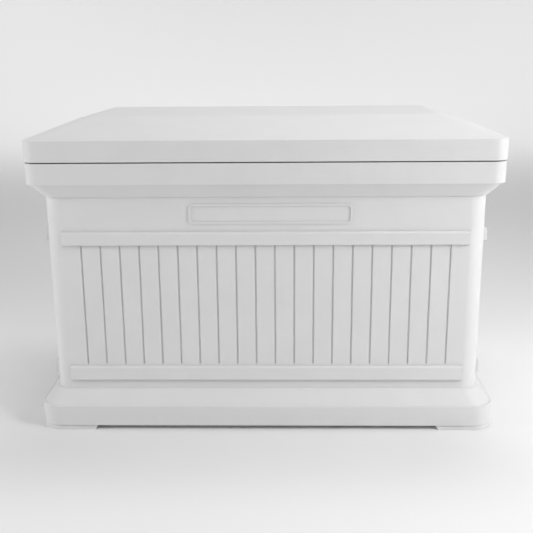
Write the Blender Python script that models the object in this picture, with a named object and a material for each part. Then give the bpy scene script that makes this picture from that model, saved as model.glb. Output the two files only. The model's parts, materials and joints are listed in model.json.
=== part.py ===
"""Parcel drop box: a double-walled moulded chest with a hipped lid on two rear hinges.

Metres, +Z up. The origin is on the ground under the middle of the box, and the front faces -Y.
"""

import math

import bmesh
import bpy
from mathutils import Matrix, Vector

# Driving dimensions
LID_WIDTH = 0.965
LID_DEPTH = 0.560
GAP = 0.0003  # between pieces that touch

GROUND_CLEARANCE = 0.0098
PLINTH_TOP = 0.053
WALL_BOTTOM = 0.081
WALL_TOP = 0.4995
FLANGE_BOTTOM = 0.528
RIM_TOP = 0.571
LID_BOTTOM = 0.5735
EAVE = 0.616
ROOF_TOP = 0.651

PLINTH_INSET = -0.0026  # insets are measured inwards from the lid's outline
WALL_INSET = 0.0294
RIM_INSET = 0.001
RIM_LIP = 0.005  # the rim's own edge, outside the liner's flange
LEDGE_INSET = 0.018
SKIN = 0.0045
WALL_THICKNESS = 0.024  # both skins and the space between them
LINER_SKIN = 0.004
LINER_FLOOR = 0.038
PLUG_CLEARANCE = 0.004

ROOF_RUN_SIDE = 0.12
ROOF_RUN_FRONT = 0.165

LID_CORNER = 0.030
WALL_CORNER = 0.038
PLINTH_CORNER = 0.048
CORNER_STEPS = 6

RAIL_HEIGHTS = ((0.1035, 0.1345), (0.399, 0.427))
RAIL_PROUD = 0.007
RAIL_END = 0.035  # from the end of a rail to the corner of the wall
GROOVE_PITCH = 0.040
GROOVE_WIDTH = 0.0055
GROOVE_DEPTH = 0.0025
FRONT_GROOVES = 20
SIDE_GROOVES = 10

FOOT_LENGTH = 0.128
FOOT_SECTION = ((0, 0.012, 0.010), (0.004, 0.0055, 0.006), (0.012, 0.0034, 0))  # height, inset, bevel
FOOT_CORNER = 0.006

PLAQUE_CENTRE = (0.012, 0.4635)
PLAQUE_SIZE = (0.335, 0.042)
PLAQUE_BORDER = 0.005
PLAQUE_PROUD = 0.002

HINGE_X = 0.300
HINGE_LENGTH = 0.080
HINGE_SCREWS = (-0.028, 0, 0.028)  # from the middle of the leaf
HINGE_LEAF = 0.002
KNUCKLES = 5
KNUCKLE_RADIUS = 0.005
PIN_RADIUS = 0.0022
PIN_HEAD = 0.0034
AXIS_Y = 0.2855
AXIS_Z = 0.5722
LEAF_REACH = 0.038
LEAF_START = 0.0065
LEAF_SCREW = 0.024

STAY_X = 0.407
STAY_ARM = 0.330  # hinge axis to either end of a stay
STAY_FOOT_Y = 0.175
STAY_HEAD_Z = 0.548
STAY_TUBE_RADIUS = 0.009
STAY_BORE_RADIUS = 0.0072
STAY_ROD_RADIUS = 0.004
STAY_TUBE_START = 0.026
STAY_TUBE_END = 0.330
STAY_ROD_START = 0.022
STAY_ROD_END = 0.322
STAY_NECK = 0.008  # length of the tube's closed end, and of the piston
STAY_PLATE_SCREWS = (-0.018, 0.018)
STAY_PLATE = (0.013, 0.028)  # half width and half height of the bracket on the liner
STAY_HEAD_SCREWS = (-0.013, 0.013)
STAY_HEAD_SCREW_X = 0.392
LID_BRACKET_EDGE = 0.383
LID_BRACKET_FACE = 0.4195
LID_BRACKET_HALF = 0.020
LID_BRACKET_DROP = 0.009  # how far the bracket hangs below its ball
BRACKET_THICKNESS = 0.003
BALL_RADIUS = 0.005
BALL_NECK = 0.0032
SOCKET_RADIUS = 0.0085
SOCKET_NECK = 0.0048
SOCKET_INBOARD = 0.0085
SOCKET_OUTBOARD = 0.0055

LOCK_Y = -0.120
LOCK_Z = 0.546
LOCK_BARREL = 0.008
LOCK_FACE = 0.0105
LOCK_PROUD = 0.0024
PLUG_BORE = 0.0058
NUT_RADIUS = 0.0125
NUT_THICKNESS = 0.004
CAM_REACH = 0.018
CAM_WIDTH = 0.012
CAM_THICKNESS = 0.0025
CAM_HUB = 0.0038
KEYWAY = (0.0009, 0.0035)  # half width and half height
STRIKE_SCREWS = (-0.018, -0.037)
STRIKE_SCREW_X = 0.404
STRIKE_EDGE = 0.395
STRIKE_FACE = 0.4190
STRIKE_LIP = 0.4242
STRIKE_WEB = 0.0025
STRIKE_RUN = (-0.045, -0.0088)  # along Y, from the lock

ANCHORS = (0.392, 0.150)
ANCHOR_HOLE = 0.0045
ANCHOR_ACCESS = 0.008
MAT_SIZE = (0.720, 0.420)
MAT_RIBS = 18
MAT_WEB = 0.004
MAT_HEIGHT = 0.009

SCREW_SHANK = 0.0024
SCREW_HEAD = 0.0045
SCREW_HEAD_HEIGHT = 0.0024
SCREW_LENGTH = 0.014

# Worked out from the above
HALF_X = LID_WIDTH / 2
HALF_Y = LID_DEPTH / 2
LINER_INSET = WALL_INSET + WALL_THICKNESS
LINER_X = HALF_X - LINER_INSET
PAN_BOTTOM = RIM_TOP - 0.005
PAN_INSET = LINER_INSET + PLUG_CLEARANCE
STAY_SINE = (AXIS_Z - STAY_HEAD_Z) / STAY_ARM
STAY_HEAD_Y = AXIS_Y - STAY_ARM * math.cos(math.asin(STAY_SINE))
STAY_FOOT_Z = AXIS_Z - math.sqrt(STAY_ARM**2 - (AXIS_Y - STAY_FOOT_Y) ** 2)


def clear_scene():
    for obj in list(bpy.data.objects):
        bpy.data.objects.remove(obj, do_unlink=True)


def material(name, colour, roughness, metallic=0.0):
    made = bpy.data.materials.new(name)
    made.use_nodes = True
    shader = made.node_tree.nodes["Principled BSDF"]
    shader.inputs["Base Color"].default_value = (*colour, 1.0)
    shader.inputs["Roughness"].default_value = roughness
    shader.inputs["Metallic"].default_value = metallic
    return made


def new_object(name, bm, finish=None):
    """A named object from a bmesh, its faces turned outwards and its round sides shaded smooth."""
    bmesh.ops.recalc_face_normals(bm, faces=bm.faces)
    mesh = bpy.data.meshes.new(name)
    bm.to_mesh(mesh)
    bm.free()
    mesh.shade_smooth()
    mesh.set_sharp_from_angle(angle=math.radians(35))
    obj = bpy.data.objects.new(name, mesh)
    bpy.context.scene.collection.objects.link(obj)
    if finish:
        mesh.materials.append(finish)
    return obj


def loft(bm, rings, closed=False):
    """Skins a list of equal point rings, and caps its ends, or joins the last ring to the first."""
    made = [[bm.verts.new(point) for point in ring] for ring in rings]
    pairs = list(zip(made, made[1:]))
    if closed:
        pairs.append((made[-1], made[0]))
    for low, high in pairs:
        for i in range(len(low)):
            j = (i + 1) % len(low)
            bm.faces.new((low[i], low[j], high[j], high[i]))
    if not closed:
        bm.faces.new(made[0][::-1])
        bm.faces.new(made[-1])


def rounded(half_x, half_y, radius, z, centre=(0, 0), steps=CORNER_STEPS):
    """A rounded rectangle of points at height z, turning anticlockwise."""
    points = []
    for sign_x, sign_y, start in ((1, 1, 0), (-1, 1, 90), (-1, -1, 180), (1, -1, 270)):
        for step in range(steps + 1):
            angle = math.radians(start + 90 * step / steps)
            x = sign_x * (half_x - radius) + radius * math.cos(angle)
            y = sign_y * (half_y - radius) + radius * math.sin(angle)
            points.append(Vector((centre[0] + x, centre[1] + y, z)))
    return points


def inset_ring(inset, radius, z):
    return rounded(HALF_X - inset, HALF_Y - inset, radius, z)


def turned(bm, profile, segments=16, turn=None):
    """Turns (radius, height) points about Z, with both ends capped, then moves them by turn."""
    place = turn or Matrix()
    rings = []
    for radius, height in profile:
        ring = []
        for step in range(segments):
            angle = 2 * math.pi * step / segments
            point = Vector((radius * math.cos(angle), radius * math.sin(angle), height))
            ring.append(place @ point)
        rings.append(ring)
    loft(bm, rings)


def block(bm, low, high):
    """A plain rectangular block between two corners."""
    ring = [(low[0], low[1]), (high[0], low[1]), (high[0], high[1]), (low[0], high[1])]
    loft(bm, [[Vector((x, y, z)) for x, y in ring] for z in (low[2], high[2])])


def prism(bm, outline, axis, start, end):
    """Pushes a flat outline along one axis, from start to end."""

    def point(a, b, along):
        return Vector({"X": (along, a, b), "Y": (a, along, b), "Z": (a, b, along)}[axis])

    loft(bm, [[point(a, b, along) for a, b in outline] for along in (start, end)])


def aim(location, direction):
    """A matrix that takes +Z at the origin to a direction at a place."""
    turn = Vector(direction).to_track_quat("Z", "Y").to_matrix().to_4x4()
    return Matrix.Translation(location) @ turn


def helper(name, bm):
    """A shape that only cuts or joins, and isn't a piece itself."""
    obj = new_object(name, bm)
    obj.hide_render = True
    obj.display_type = "WIRE"
    return obj


def combine(obj, other, operation):
    modifier = obj.modifiers.new(other.name, "BOOLEAN")
    modifier.operation = operation
    modifier.object = other
    return obj


def drill(name, obj, holes):
    """Cuts round holes, each given as (centre, direction, radius, half length)."""
    bm = bmesh.new()
    for centre, direction, radius, half in holes:
        segments = 10 if radius < 0.004 else 16
        turned(bm, ((radius, -half), (radius, half)), segments, aim(centre, direction))
    return combine(obj, helper(name, bm), "DIFFERENCE")


def pivot(name, location):
    empty = bpy.data.objects.new(name, None)
    empty.location = location
    bpy.context.scene.collection.objects.link(empty)
    return empty


def attach(obj, parent):
    """Hangs an object on a pivot without moving it."""
    obj.parent = parent
    obj.location = obj.location - parent.location
    return obj


def sides(function):
    for side, sign in (("left", -1), ("right", 1)):
        function(side, sign)


# Body


def wall_faces():
    """The four wall faces: the turn from the front, the half width, the distance out and the grooves."""
    wall_x = HALF_X - WALL_INSET
    wall_y = HALF_Y - WALL_INSET
    return (
        ("front", 0, wall_x, wall_y, FRONT_GROOVES),
        ("right", 90, wall_y, wall_x, SIDE_GROOVES),
        ("back", 180, wall_x, wall_y, FRONT_GROOVES),
        ("left", 270, wall_y, wall_x, SIDE_GROOVES),
    )


def turn_points(bm, first, degrees):
    """Turns the vertices made since index first about the box's upright middle line."""
    turn = Matrix.Rotation(math.radians(degrees), 4, "Z")
    bm.verts.ensure_lookup_table()
    for vert in bm.verts[first:]:
        vert.co = turn @ vert.co


def groove_cutters():
    bm = bmesh.new()
    low = RAIL_HEIGHTS[0][1] - 0.006
    high = RAIL_HEIGHTS[1][0] + 0.006
    for _, degrees, _, out, count in wall_faces():
        first = len(bm.verts)
        for i in range(count):
            x = (i - (count - 1) / 2) * GROOVE_PITCH
            half = GROOVE_WIDTH / 2
            outline = (
                (x - half, -out - 0.001),
                (x + half, -out - 0.001),
                (x + half * 0.3, -out + GROOVE_DEPTH),
                (x - half * 0.3, -out + GROOVE_DEPTH),
            )
            prism(bm, outline, "Z", low, high)
        turn_points(bm, first, degrees)
    return helper("groove_cutters", bm)


def rail_shapes():
    bm = bmesh.new()
    soften = 0.002
    for _, degrees, half, out, _ in wall_faces():
        first = len(bm.verts)
        reach = half - RAIL_END
        for low, high in RAIL_HEIGHTS:
            rings = []
            for depth, inset in ((-0.0035, 0), (RAIL_PROUD - soften, 0), (RAIL_PROUD, soften)):
                y = -out - depth
                end = reach - inset
                bottom = low + inset
                top = high - inset
                corners = ((-end, bottom), (end, bottom), (end, top), (-end, top))
                rings.append([Vector((x, y, z)) for x, z in corners])
            loft(bm, rings)
        turn_points(bm, first, degrees)
    return helper("rail_shapes", bm)


def plaque_shape():
    """The blank raised border on the front, between the upper rail and the rim."""
    bm = bmesh.new()
    out = HALF_Y - WALL_INSET
    half_x = PLAQUE_SIZE[0] / 2
    half_z = PLAQUE_SIZE[1] / 2
    stand = Matrix.Rotation(math.radians(90), 4, "X")
    rings = []
    for inset, depth in (
        (0, 0.002),
        (0, -PLAQUE_PROUD),
        (PLAQUE_BORDER, -PLAQUE_PROUD),
        (PLAQUE_BORDER, 0.002),
    ):
        flat = rounded(half_x - inset, half_z - inset, 0.009 - inset / 2, 0, steps=4)
        place = Vector((PLAQUE_CENTRE[0], -out + depth, PLAQUE_CENTRE[1]))
        rings.append([stand @ point + place for point in flat])
    loft(bm, rings, closed=True)
    return helper("plaque_shape", bm)


def foot_shapes():
    bm = bmesh.new()
    outer_x = HALF_X - PLINTH_INSET
    outer_y = HALF_Y - PLINTH_INSET
    for sign_x in (-1, 1):
        for sign_y in (-1, 1):
            rings = []
            for z, inset, cut in FOOT_SECTION:
                low_x = outer_x - FOOT_LENGTH + cut
                low_y = outer_y - FOOT_LENGTH + cut
                half_x = (outer_x - inset - low_x) / 2
                half_y = (outer_y - inset - low_y) / 2
                centre = (sign_x * (low_x + half_x), sign_y * (low_y + half_y))
                rings.append(foot_ring(half_x, half_y, z, centre, sign_x, sign_y))
            loft(bm, rings)
    return helper("foot_shapes", bm)


def foot_ring(half_x, half_y, z, centre, sign_x, sign_y):
    """A square foot's outline, with the corner under the box's own corner rounded like the plinth."""
    points = []
    for corner_x, corner_y, start in ((1, 1, 0), (-1, 1, 90), (-1, -1, 180), (1, -1, 270)):
        under_corner = (corner_x, corner_y) == (sign_x, sign_y)
        radius = PLINTH_CORNER - FOOT_CORNER if under_corner else FOOT_CORNER
        steps = CORNER_STEPS if under_corner else 2
        for step in range(steps + 1):
            angle = math.radians(start + 90 * step / steps)
            x = corner_x * (half_x - radius) + radius * math.cos(angle)
            y = corner_y * (half_y - radius) + radius * math.sin(angle)
            points.append(Vector((centre[0] + x, centre[1] + y, z)))
    return points


def body_shell(finish):
    plinth = PLINTH_INSET
    inner_wall = WALL_INSET + SKIN
    ledge = RIM_TOP - LINER_SKIN - GAP
    rings = (
        inset_ring(plinth + 0.004, PLINTH_CORNER - 0.004, GROUND_CLEARANCE),
        inset_ring(plinth, PLINTH_CORNER, GROUND_CLEARANCE + 0.004),
        inset_ring(plinth, PLINTH_CORNER, PLINTH_TOP - 0.002),
        inset_ring(plinth + 0.0015, PLINTH_CORNER, PLINTH_TOP),
        inset_ring(WALL_INSET - 0.0015, WALL_CORNER, WALL_BOTTOM - 0.0015),
        inset_ring(WALL_INSET, WALL_CORNER, WALL_BOTTOM + 0.001),
        inset_ring(WALL_INSET, WALL_CORNER, WALL_TOP - 0.001),
        inset_ring(WALL_INSET - 0.001, WALL_CORNER, WALL_TOP + 0.001),
        inset_ring(RIM_INSET + 0.0015, LID_CORNER, FLANGE_BOTTOM - 0.0015),
        inset_ring(RIM_INSET, LID_CORNER, FLANGE_BOTTOM + 0.001),
        inset_ring(RIM_INSET, LID_CORNER, RIM_TOP - 0.002),
        inset_ring(RIM_INSET + 0.002, LID_CORNER, RIM_TOP),
        inset_ring(RIM_INSET + RIM_LIP, LID_CORNER - 0.004, RIM_TOP),
        inset_ring(RIM_INSET + RIM_LIP, LID_CORNER - 0.004, ledge),
        inset_ring(LEDGE_INSET, LID_CORNER - 0.008, ledge),
        inset_ring(LEDGE_INSET, LID_CORNER - 0.008, ledge - LINER_SKIN),
        inset_ring(RIM_INSET + SKIN, LID_CORNER - SKIN, ledge - LINER_SKIN),
        inset_ring(RIM_INSET + SKIN, LID_CORNER - SKIN, FLANGE_BOTTOM + 0.003),
        inset_ring(inner_wall, WALL_CORNER - SKIN, WALL_TOP + 0.002),
        inset_ring(inner_wall, WALL_CORNER - SKIN, WALL_BOTTOM + 0.002),
        inset_ring(plinth + SKIN, PLINTH_CORNER - SKIN, PLINTH_TOP - 0.001),
        inset_ring(plinth + SKIN, PLINTH_CORNER - SKIN, GROUND_CLEARANCE + SKIN),
    )
    bm = bmesh.new()
    loft(bm, rings)
    shell = new_object("body_shell", bm, finish)
    combine(shell, groove_cutters(), "DIFFERENCE")
    combine(shell, rail_shapes(), "UNION")
    combine(shell, plaque_shape(), "UNION")
    combine(shell, foot_shapes(), "UNION")
    holes = [
        ((x, y, GROUND_CLEARANCE), (0, 0, 1), ANCHOR_HOLE, 0.008)
        for x in (-ANCHORS[0], ANCHORS[0])
        for y in (-ANCHORS[1], ANCHORS[1])
    ]
    holes += [
        ((x, HALF_Y, AXIS_Z - LEAF_SCREW), (0, 1, 0), SCREW_SHANK + GAP, 0.012)
        for x in leaf_screw_places()
    ]
    holes.append(((HALF_X, LOCK_Y, LOCK_Z), (1, 0, 0), LOCK_BARREL + GAP, 0.015))
    return drill("body_shell_holes", shell, holes)


def inner_liner(finish):
    outer = LINER_INSET - LINER_SKIN
    ledge = RIM_TOP - LINER_SKIN
    edge = RIM_INSET + RIM_LIP + GAP
    corner = WALL_CORNER - 0.008
    rings = (
        inset_ring(outer + 0.004, corner, LINER_FLOOR - LINER_SKIN),
        inset_ring(outer, corner, LINER_FLOOR),
        inset_ring(outer, corner, ledge - 0.005),
        inset_ring(outer, corner, ledge),
        inset_ring(edge, LID_CORNER - 0.0043, ledge),
        inset_ring(edge, LID_CORNER - 0.0043, RIM_TOP),
        inset_ring(LINER_INSET - 0.002, corner, RIM_TOP),
        inset_ring(LINER_INSET, corner - 0.002, RIM_TOP - 0.003),
        inset_ring(LINER_INSET, corner - 0.002, LINER_FLOOR + 0.006),
        inset_ring(LINER_INSET + 0.004, corner - 0.004, LINER_FLOOR),
    )
    bm = bmesh.new()
    loft(bm, rings)
    liner = new_object("inner_liner", bm, finish)
    holes = [
        ((x, y, LINER_FLOOR), (0, 0, 1), ANCHOR_ACCESS, 0.01)
        for x in (-ANCHORS[0], ANCHORS[0])
        for y in (-ANCHORS[1], ANCHORS[1])
    ]
    holes += [
        ((sign * LINER_X, STAY_FOOT_Y, STAY_FOOT_Z + offset), (1, 0, 0), SCREW_SHANK + GAP, 0.012)
        for sign in (-1, 1)
        for offset in STAY_PLATE_SCREWS
    ]
    holes.append(((LINER_X, LOCK_Y, LOCK_Z), (1, 0, 0), LOCK_BARREL + GAP, 0.012))
    return drill("inner_liner_holes", liner, holes)


def floor_mat(finish):
    """A ribbed mat that lies loose on the liner's floor and keeps parcels off the wet."""
    half_x = MAT_SIZE[0] / 2
    half_y = MAT_SIZE[1] / 2
    base = LINER_FLOOR + GAP
    web = base + MAT_WEB
    top = base + MAT_HEIGHT
    pitch = MAT_SIZE[0] / MAT_RIBS
    outline = [(-half_x, base), (half_x, base)]
    for i in reversed(range(MAT_RIBS)):
        x = -half_x + (i + 0.5) * pitch
        outline += [
            (x + pitch / 2, web),
            (x + pitch / 4, web),
            (x + pitch / 5, top),
            (x - pitch / 5, top),
            (x - pitch / 4, web),
        ]
    outline.append((-half_x, web))
    bm = bmesh.new()
    prism(bm, outline, "Y", -half_y, half_y)
    return new_object("floor_mat", bm, finish)


def anchor_plugs(finish):
    """Caps over the four holes that ground anchors would pass through."""
    bm = bmesh.new()
    stem = ANCHOR_ACCESS - GAP
    cap = (
        (stem - 0.0005, -0.009),
        (stem, -0.006),
        (stem, GAP),
        (0.013, GAP),
        (0.013, 0.0015),
        (0.010, 0.0028),
    )
    turned(bm, cap, 16)
    first = new_object("anchor_plug_front_left", bm, finish)
    for name, sign_x, sign_y in (
        ("anchor_plug_front_left", -1, -1),
        ("anchor_plug_front_right", 1, -1),
        ("anchor_plug_back_left", -1, 1),
        ("anchor_plug_back_right", 1, 1),
    ):
        copy_of(first, name).location = (sign_x * ANCHORS[0], sign_y * ANCHORS[1], LINER_FLOOR)


def copy_of(first, name):
    """The first object itself under its own name, or another that shares its mesh."""
    if first.name == name:
        return first
    made = bpy.data.objects.new(name, first.data)
    bpy.context.scene.collection.objects.link(made)
    return made


# Screws


def screw_mesh(finish):
    """A pan-head screw that points down -Z, with the underside of its head at the origin."""
    bm = bmesh.new()
    profile = (
        (SCREW_SHANK * 0.4, -SCREW_LENGTH),
        (SCREW_SHANK, -SCREW_LENGTH + 0.003),
        (SCREW_SHANK, GAP),
        (SCREW_HEAD, GAP),
        (SCREW_HEAD, SCREW_HEAD_HEIGHT * 0.5),
        (SCREW_HEAD * 0.7, SCREW_HEAD_HEIGHT),
    )
    turned(bm, profile, 8)
    made = new_object("screw_pattern", bm, finish)
    mesh = made.data
    bpy.data.objects.remove(made)
    return mesh


def screw(name, mesh, location, outward, parent=None):
    """Places a screw with its head facing outward."""
    made = bpy.data.objects.new(name, mesh)
    bpy.context.scene.collection.objects.link(made)
    made.location = location
    made.rotation_euler = Vector(outward).to_track_quat("Z", "Y").to_euler()
    return attach(made, parent) if parent else made


# Hinges


def leaf_screw_places():
    return [side * HINGE_X + offset for side in (-1, 1) for offset in HINGE_SCREWS]


def knuckle_outline(leaf_y, tab_edge, below):
    """A knuckle with the strap that joins it to its leaf, seen along the hinge."""
    arc_end = math.acos((leaf_y + HINGE_LEAF - AXIS_Y) / KNUCKLE_RADIUS)
    steps = 10
    outline = [(leaf_y + HINGE_LEAF, tab_edge), (leaf_y, tab_edge), (leaf_y, AXIS_Z)]
    flip = 1 if below else -1
    for step in range(steps + 1):
        angle = math.pi - step / steps * (2 * math.pi - (math.pi - arc_end))
        y = AXIS_Y + KNUCKLE_RADIUS * math.cos(angle)
        z = AXIS_Z + flip * KNUCKLE_RADIUS * math.sin(angle)
        outline.append((y, z))
    return outline


def hinge_leaf(name, x, leaf_y, below, slots, finish):
    flip = -1 if below else 1
    near = AXIS_Z + flip * LEAF_START
    far = AXIS_Z + flip * LEAF_REACH
    half = HINGE_LENGTH / 2
    bm = bmesh.new()
    low = (x - half, leaf_y, min(near, far))
    high = (x + half, leaf_y + HINGE_LEAF, max(near, far))
    block(bm, low, high)
    leaf = new_object(name, bm, finish)
    bm = bmesh.new()
    pitch = HINGE_LENGTH / KNUCKLES
    for slot in slots:
        start = x - half + slot * pitch + 0.0002
        outline = knuckle_outline(leaf_y, near + flip * 0.001, below)
        prism(bm, outline, "X", start, start + pitch - 0.0004)
    combine(leaf, helper(name + "_knuckles", bm), "UNION")
    holes = [((x, AXIS_Y, AXIS_Z), (1, 0, 0), PIN_RADIUS + GAP, half + 0.01)]
    screw_z = AXIS_Z + flip * LEAF_SCREW
    for offset in HINGE_SCREWS:
        holes.append(((x + offset, leaf_y, screw_z), (0, 1, 0), SCREW_SHANK + GAP, 0.006))
    return drill(name + "_holes", leaf, holes)


def hinges(finish, pin_finish, screws, lid):
    body_y = HALF_Y - RIM_INSET + GAP
    lid_y = HALF_Y + GAP

    def one(side, sign):
        x = sign * HINGE_X
        hinge_leaf(f"hinge_body_leaf_{side}", x, body_y, True, (0, 2, 4), finish)
        attach(hinge_leaf(f"hinge_lid_leaf_{side}", x, lid_y, False, (1, 3), finish), lid)
        bm = bmesh.new()
        end = HINGE_LENGTH / 2 + GAP
        profile = (
            (PIN_RADIUS, -end - 0.0015),
            (PIN_HEAD, -end - 0.0012),
            (PIN_HEAD, -end),
            (PIN_RADIUS, -end),
            (PIN_RADIUS, end),
            (PIN_HEAD, end),
            (PIN_HEAD, end + 0.0012),
            (PIN_RADIUS, end + 0.0015),
        )
        turned(bm, profile, 12, aim((x, AXIS_Y, AXIS_Z), (1, 0, 0)))
        new_object(f"hinge_pin_{side}", bm, pin_finish)
        for i, offset in enumerate(HINGE_SCREWS, 1):
            face = body_y + HINGE_LEAF
            low = (x + offset, face, AXIS_Z - LEAF_SCREW)
            screw(f"hinge_body_screw_{side}_{i}", screws, low, (0, 1, 0))
            face = lid_y + HINGE_LEAF
            high = (x + offset, face, AXIS_Z + LEAF_SCREW)
            screw(f"hinge_lid_screw_{side}_{i}", screws, high, (0, 1, 0), lid)

    sides(one)


# Lid


def roof_ring(share, radius, z, skin=0.0):
    """A ring part of the way up the hipped roof: share 0 is the eave, and share 1 the flat top."""
    half_x = HALF_X - skin - share * ROOF_RUN_SIDE
    half_y = HALF_Y - skin - share * ROOF_RUN_FRONT
    return rounded(half_x, half_y, radius, z)


def lid_shell(finish, lid):
    rings = (
        roof_ring(1.03, 0.008, ROOF_TOP),
        roof_ring(1.0, 0.010, ROOF_TOP - 0.0006),
        roof_ring(0.015, LID_CORNER, EAVE + 0.0006),
        roof_ring(0.0, LID_CORNER, EAVE - 0.001),
        roof_ring(0.0, LID_CORNER, LID_BOTTOM + 0.0015),
        inset_ring(0.0015, LID_CORNER - 0.0015, LID_BOTTOM),
        inset_ring(SKIN, LID_CORNER - SKIN, LID_BOTTOM),
        roof_ring(0.0, LID_CORNER - SKIN, EAVE - 0.005, SKIN),
        roof_ring(1.0, 0.010, ROOF_TOP - SKIN - 0.0006, SKIN),
    )
    bm = bmesh.new()
    loft(bm, rings)
    shell = attach(new_object("lid_shell", bm, finish), lid)
    holes = [
        (Vector((x, HALF_Y, AXIS_Z + LEAF_SCREW)), (0, 1, 0), SCREW_SHANK + GAP, 0.012)
        for x in leaf_screw_places()
    ]
    return drill("lid_shell_holes", shell, holes)


def lid_liner(finish, lid):
    """The pan that closes the lid from below and drops a little way into the liner's mouth."""
    edge = SKIN + GAP
    corner = WALL_CORNER - 0.012
    flange = LID_BOTTOM + 0.0005
    rings = (
        inset_ring(PAN_INSET + 0.001, corner, PAN_BOTTOM),
        inset_ring(PAN_INSET, corner, PAN_BOTTOM + 0.001),
        inset_ring(PAN_INSET - 0.001, corner, flange),
        inset_ring(edge, LID_CORNER - SKIN, flange),
        inset_ring(edge, LID_CORNER - SKIN, flange + LINER_SKIN),
        inset_ring(PAN_INSET + 0.003, corner, flange + LINER_SKIN),
        inset_ring(PAN_INSET + 0.005, corner - 0.002, PAN_BOTTOM + LINER_SKIN),
    )
    bm = bmesh.new()
    loft(bm, rings)
    liner = attach(new_object("lid_liner", bm, finish), lid)
    up = (0, 0, 1)
    holes = [
        ((x, y, PAN_BOTTOM), up, SCREW_SHANK + GAP, 0.008) for x, y in pan_screw_places()
    ]
    return drill("lid_liner_holes", liner, holes)


def lid_seal(finish, lid):
    bm = bmesh.new()
    low = RIM_TOP + GAP
    high = LID_BOTTOM + 0.0005 - GAP
    rings = (
        inset_ring(0.030, 0.022, high),
        inset_ring(0.031, 0.022, low),
        inset_ring(0.039, 0.020, low),
        inset_ring(0.040, 0.020, high),
    )
    loft(bm, rings, closed=True)
    return attach(new_object("lid_seal", bm, finish), lid)


# Gas stays


def pan_screw_places():
    """Where screws go up into the lid's pan: both stay brackets, and the strike."""
    places = [
        (sign * STAY_HEAD_SCREW_X, STAY_HEAD_Y + offset)
        for sign in (-1, 1)
        for offset in STAY_HEAD_SCREWS
    ]
    return places + [(STRIKE_SCREW_X, LOCK_Y + offset) for offset in STRIKE_SCREWS]


def ball_profile(reach):
    """A ball on a stem, with a shoulder at its root."""
    shoulder = 0.0045
    profile = [(shoulder, -0.001), (shoulder, 0.0015), (BALL_NECK, 0.0015)]
    start = math.asin(BALL_NECK / BALL_RADIUS)
    steps = 6
    for step in range(steps + 1):
        angle = start + (math.pi - start) * step / steps
        radius = max(BALL_RADIUS * math.sin(angle), 0.0006)
        profile.append((radius, reach - BALL_RADIUS * math.cos(angle)))
    return profile


def ball_stud(name, face, place, sign):
    """A ball stud that grows inboard from a bracket's face."""
    bm = bmesh.new()
    turned(bm, ball_profile(face - STAY_X), 12, aim((sign * face, *place), (-sign, 0, 0)))
    return helper(name, bm)


def stay_sockets(name, centre, direction, neck_end, sign, finish, parent):
    """A cup that snaps over a ball, with a neck towards the rest of the stay."""
    bm = bmesh.new()
    inboard = STAY_X - SOCKET_INBOARD
    outboard = STAY_X + SOCKET_OUTBOARD
    floor = STAY_X - BALL_RADIUS - 0.0008
    profile = (
        (SOCKET_RADIUS - 0.001, inboard),
        (SOCKET_RADIUS, inboard + 0.001),
        (SOCKET_RADIUS, outboard),
        (BALL_RADIUS + 0.0004, outboard),
        (BALL_RADIUS + 0.0004, floor),
    )
    turned(bm, profile, 14, aim((0, *centre), (sign, 0, 0)))
    cup = new_object(name, bm, finish)
    bm = bmesh.new()
    place = aim((sign * STAY_X, *centre), (0, *direction))
    turned(bm, ((SOCKET_NECK, 0.0066), (SOCKET_NECK, neck_end)), 12, place)
    combine(cup, helper(name + "_neck", bm), "UNION")
    return attach(cup, parent)


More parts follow.
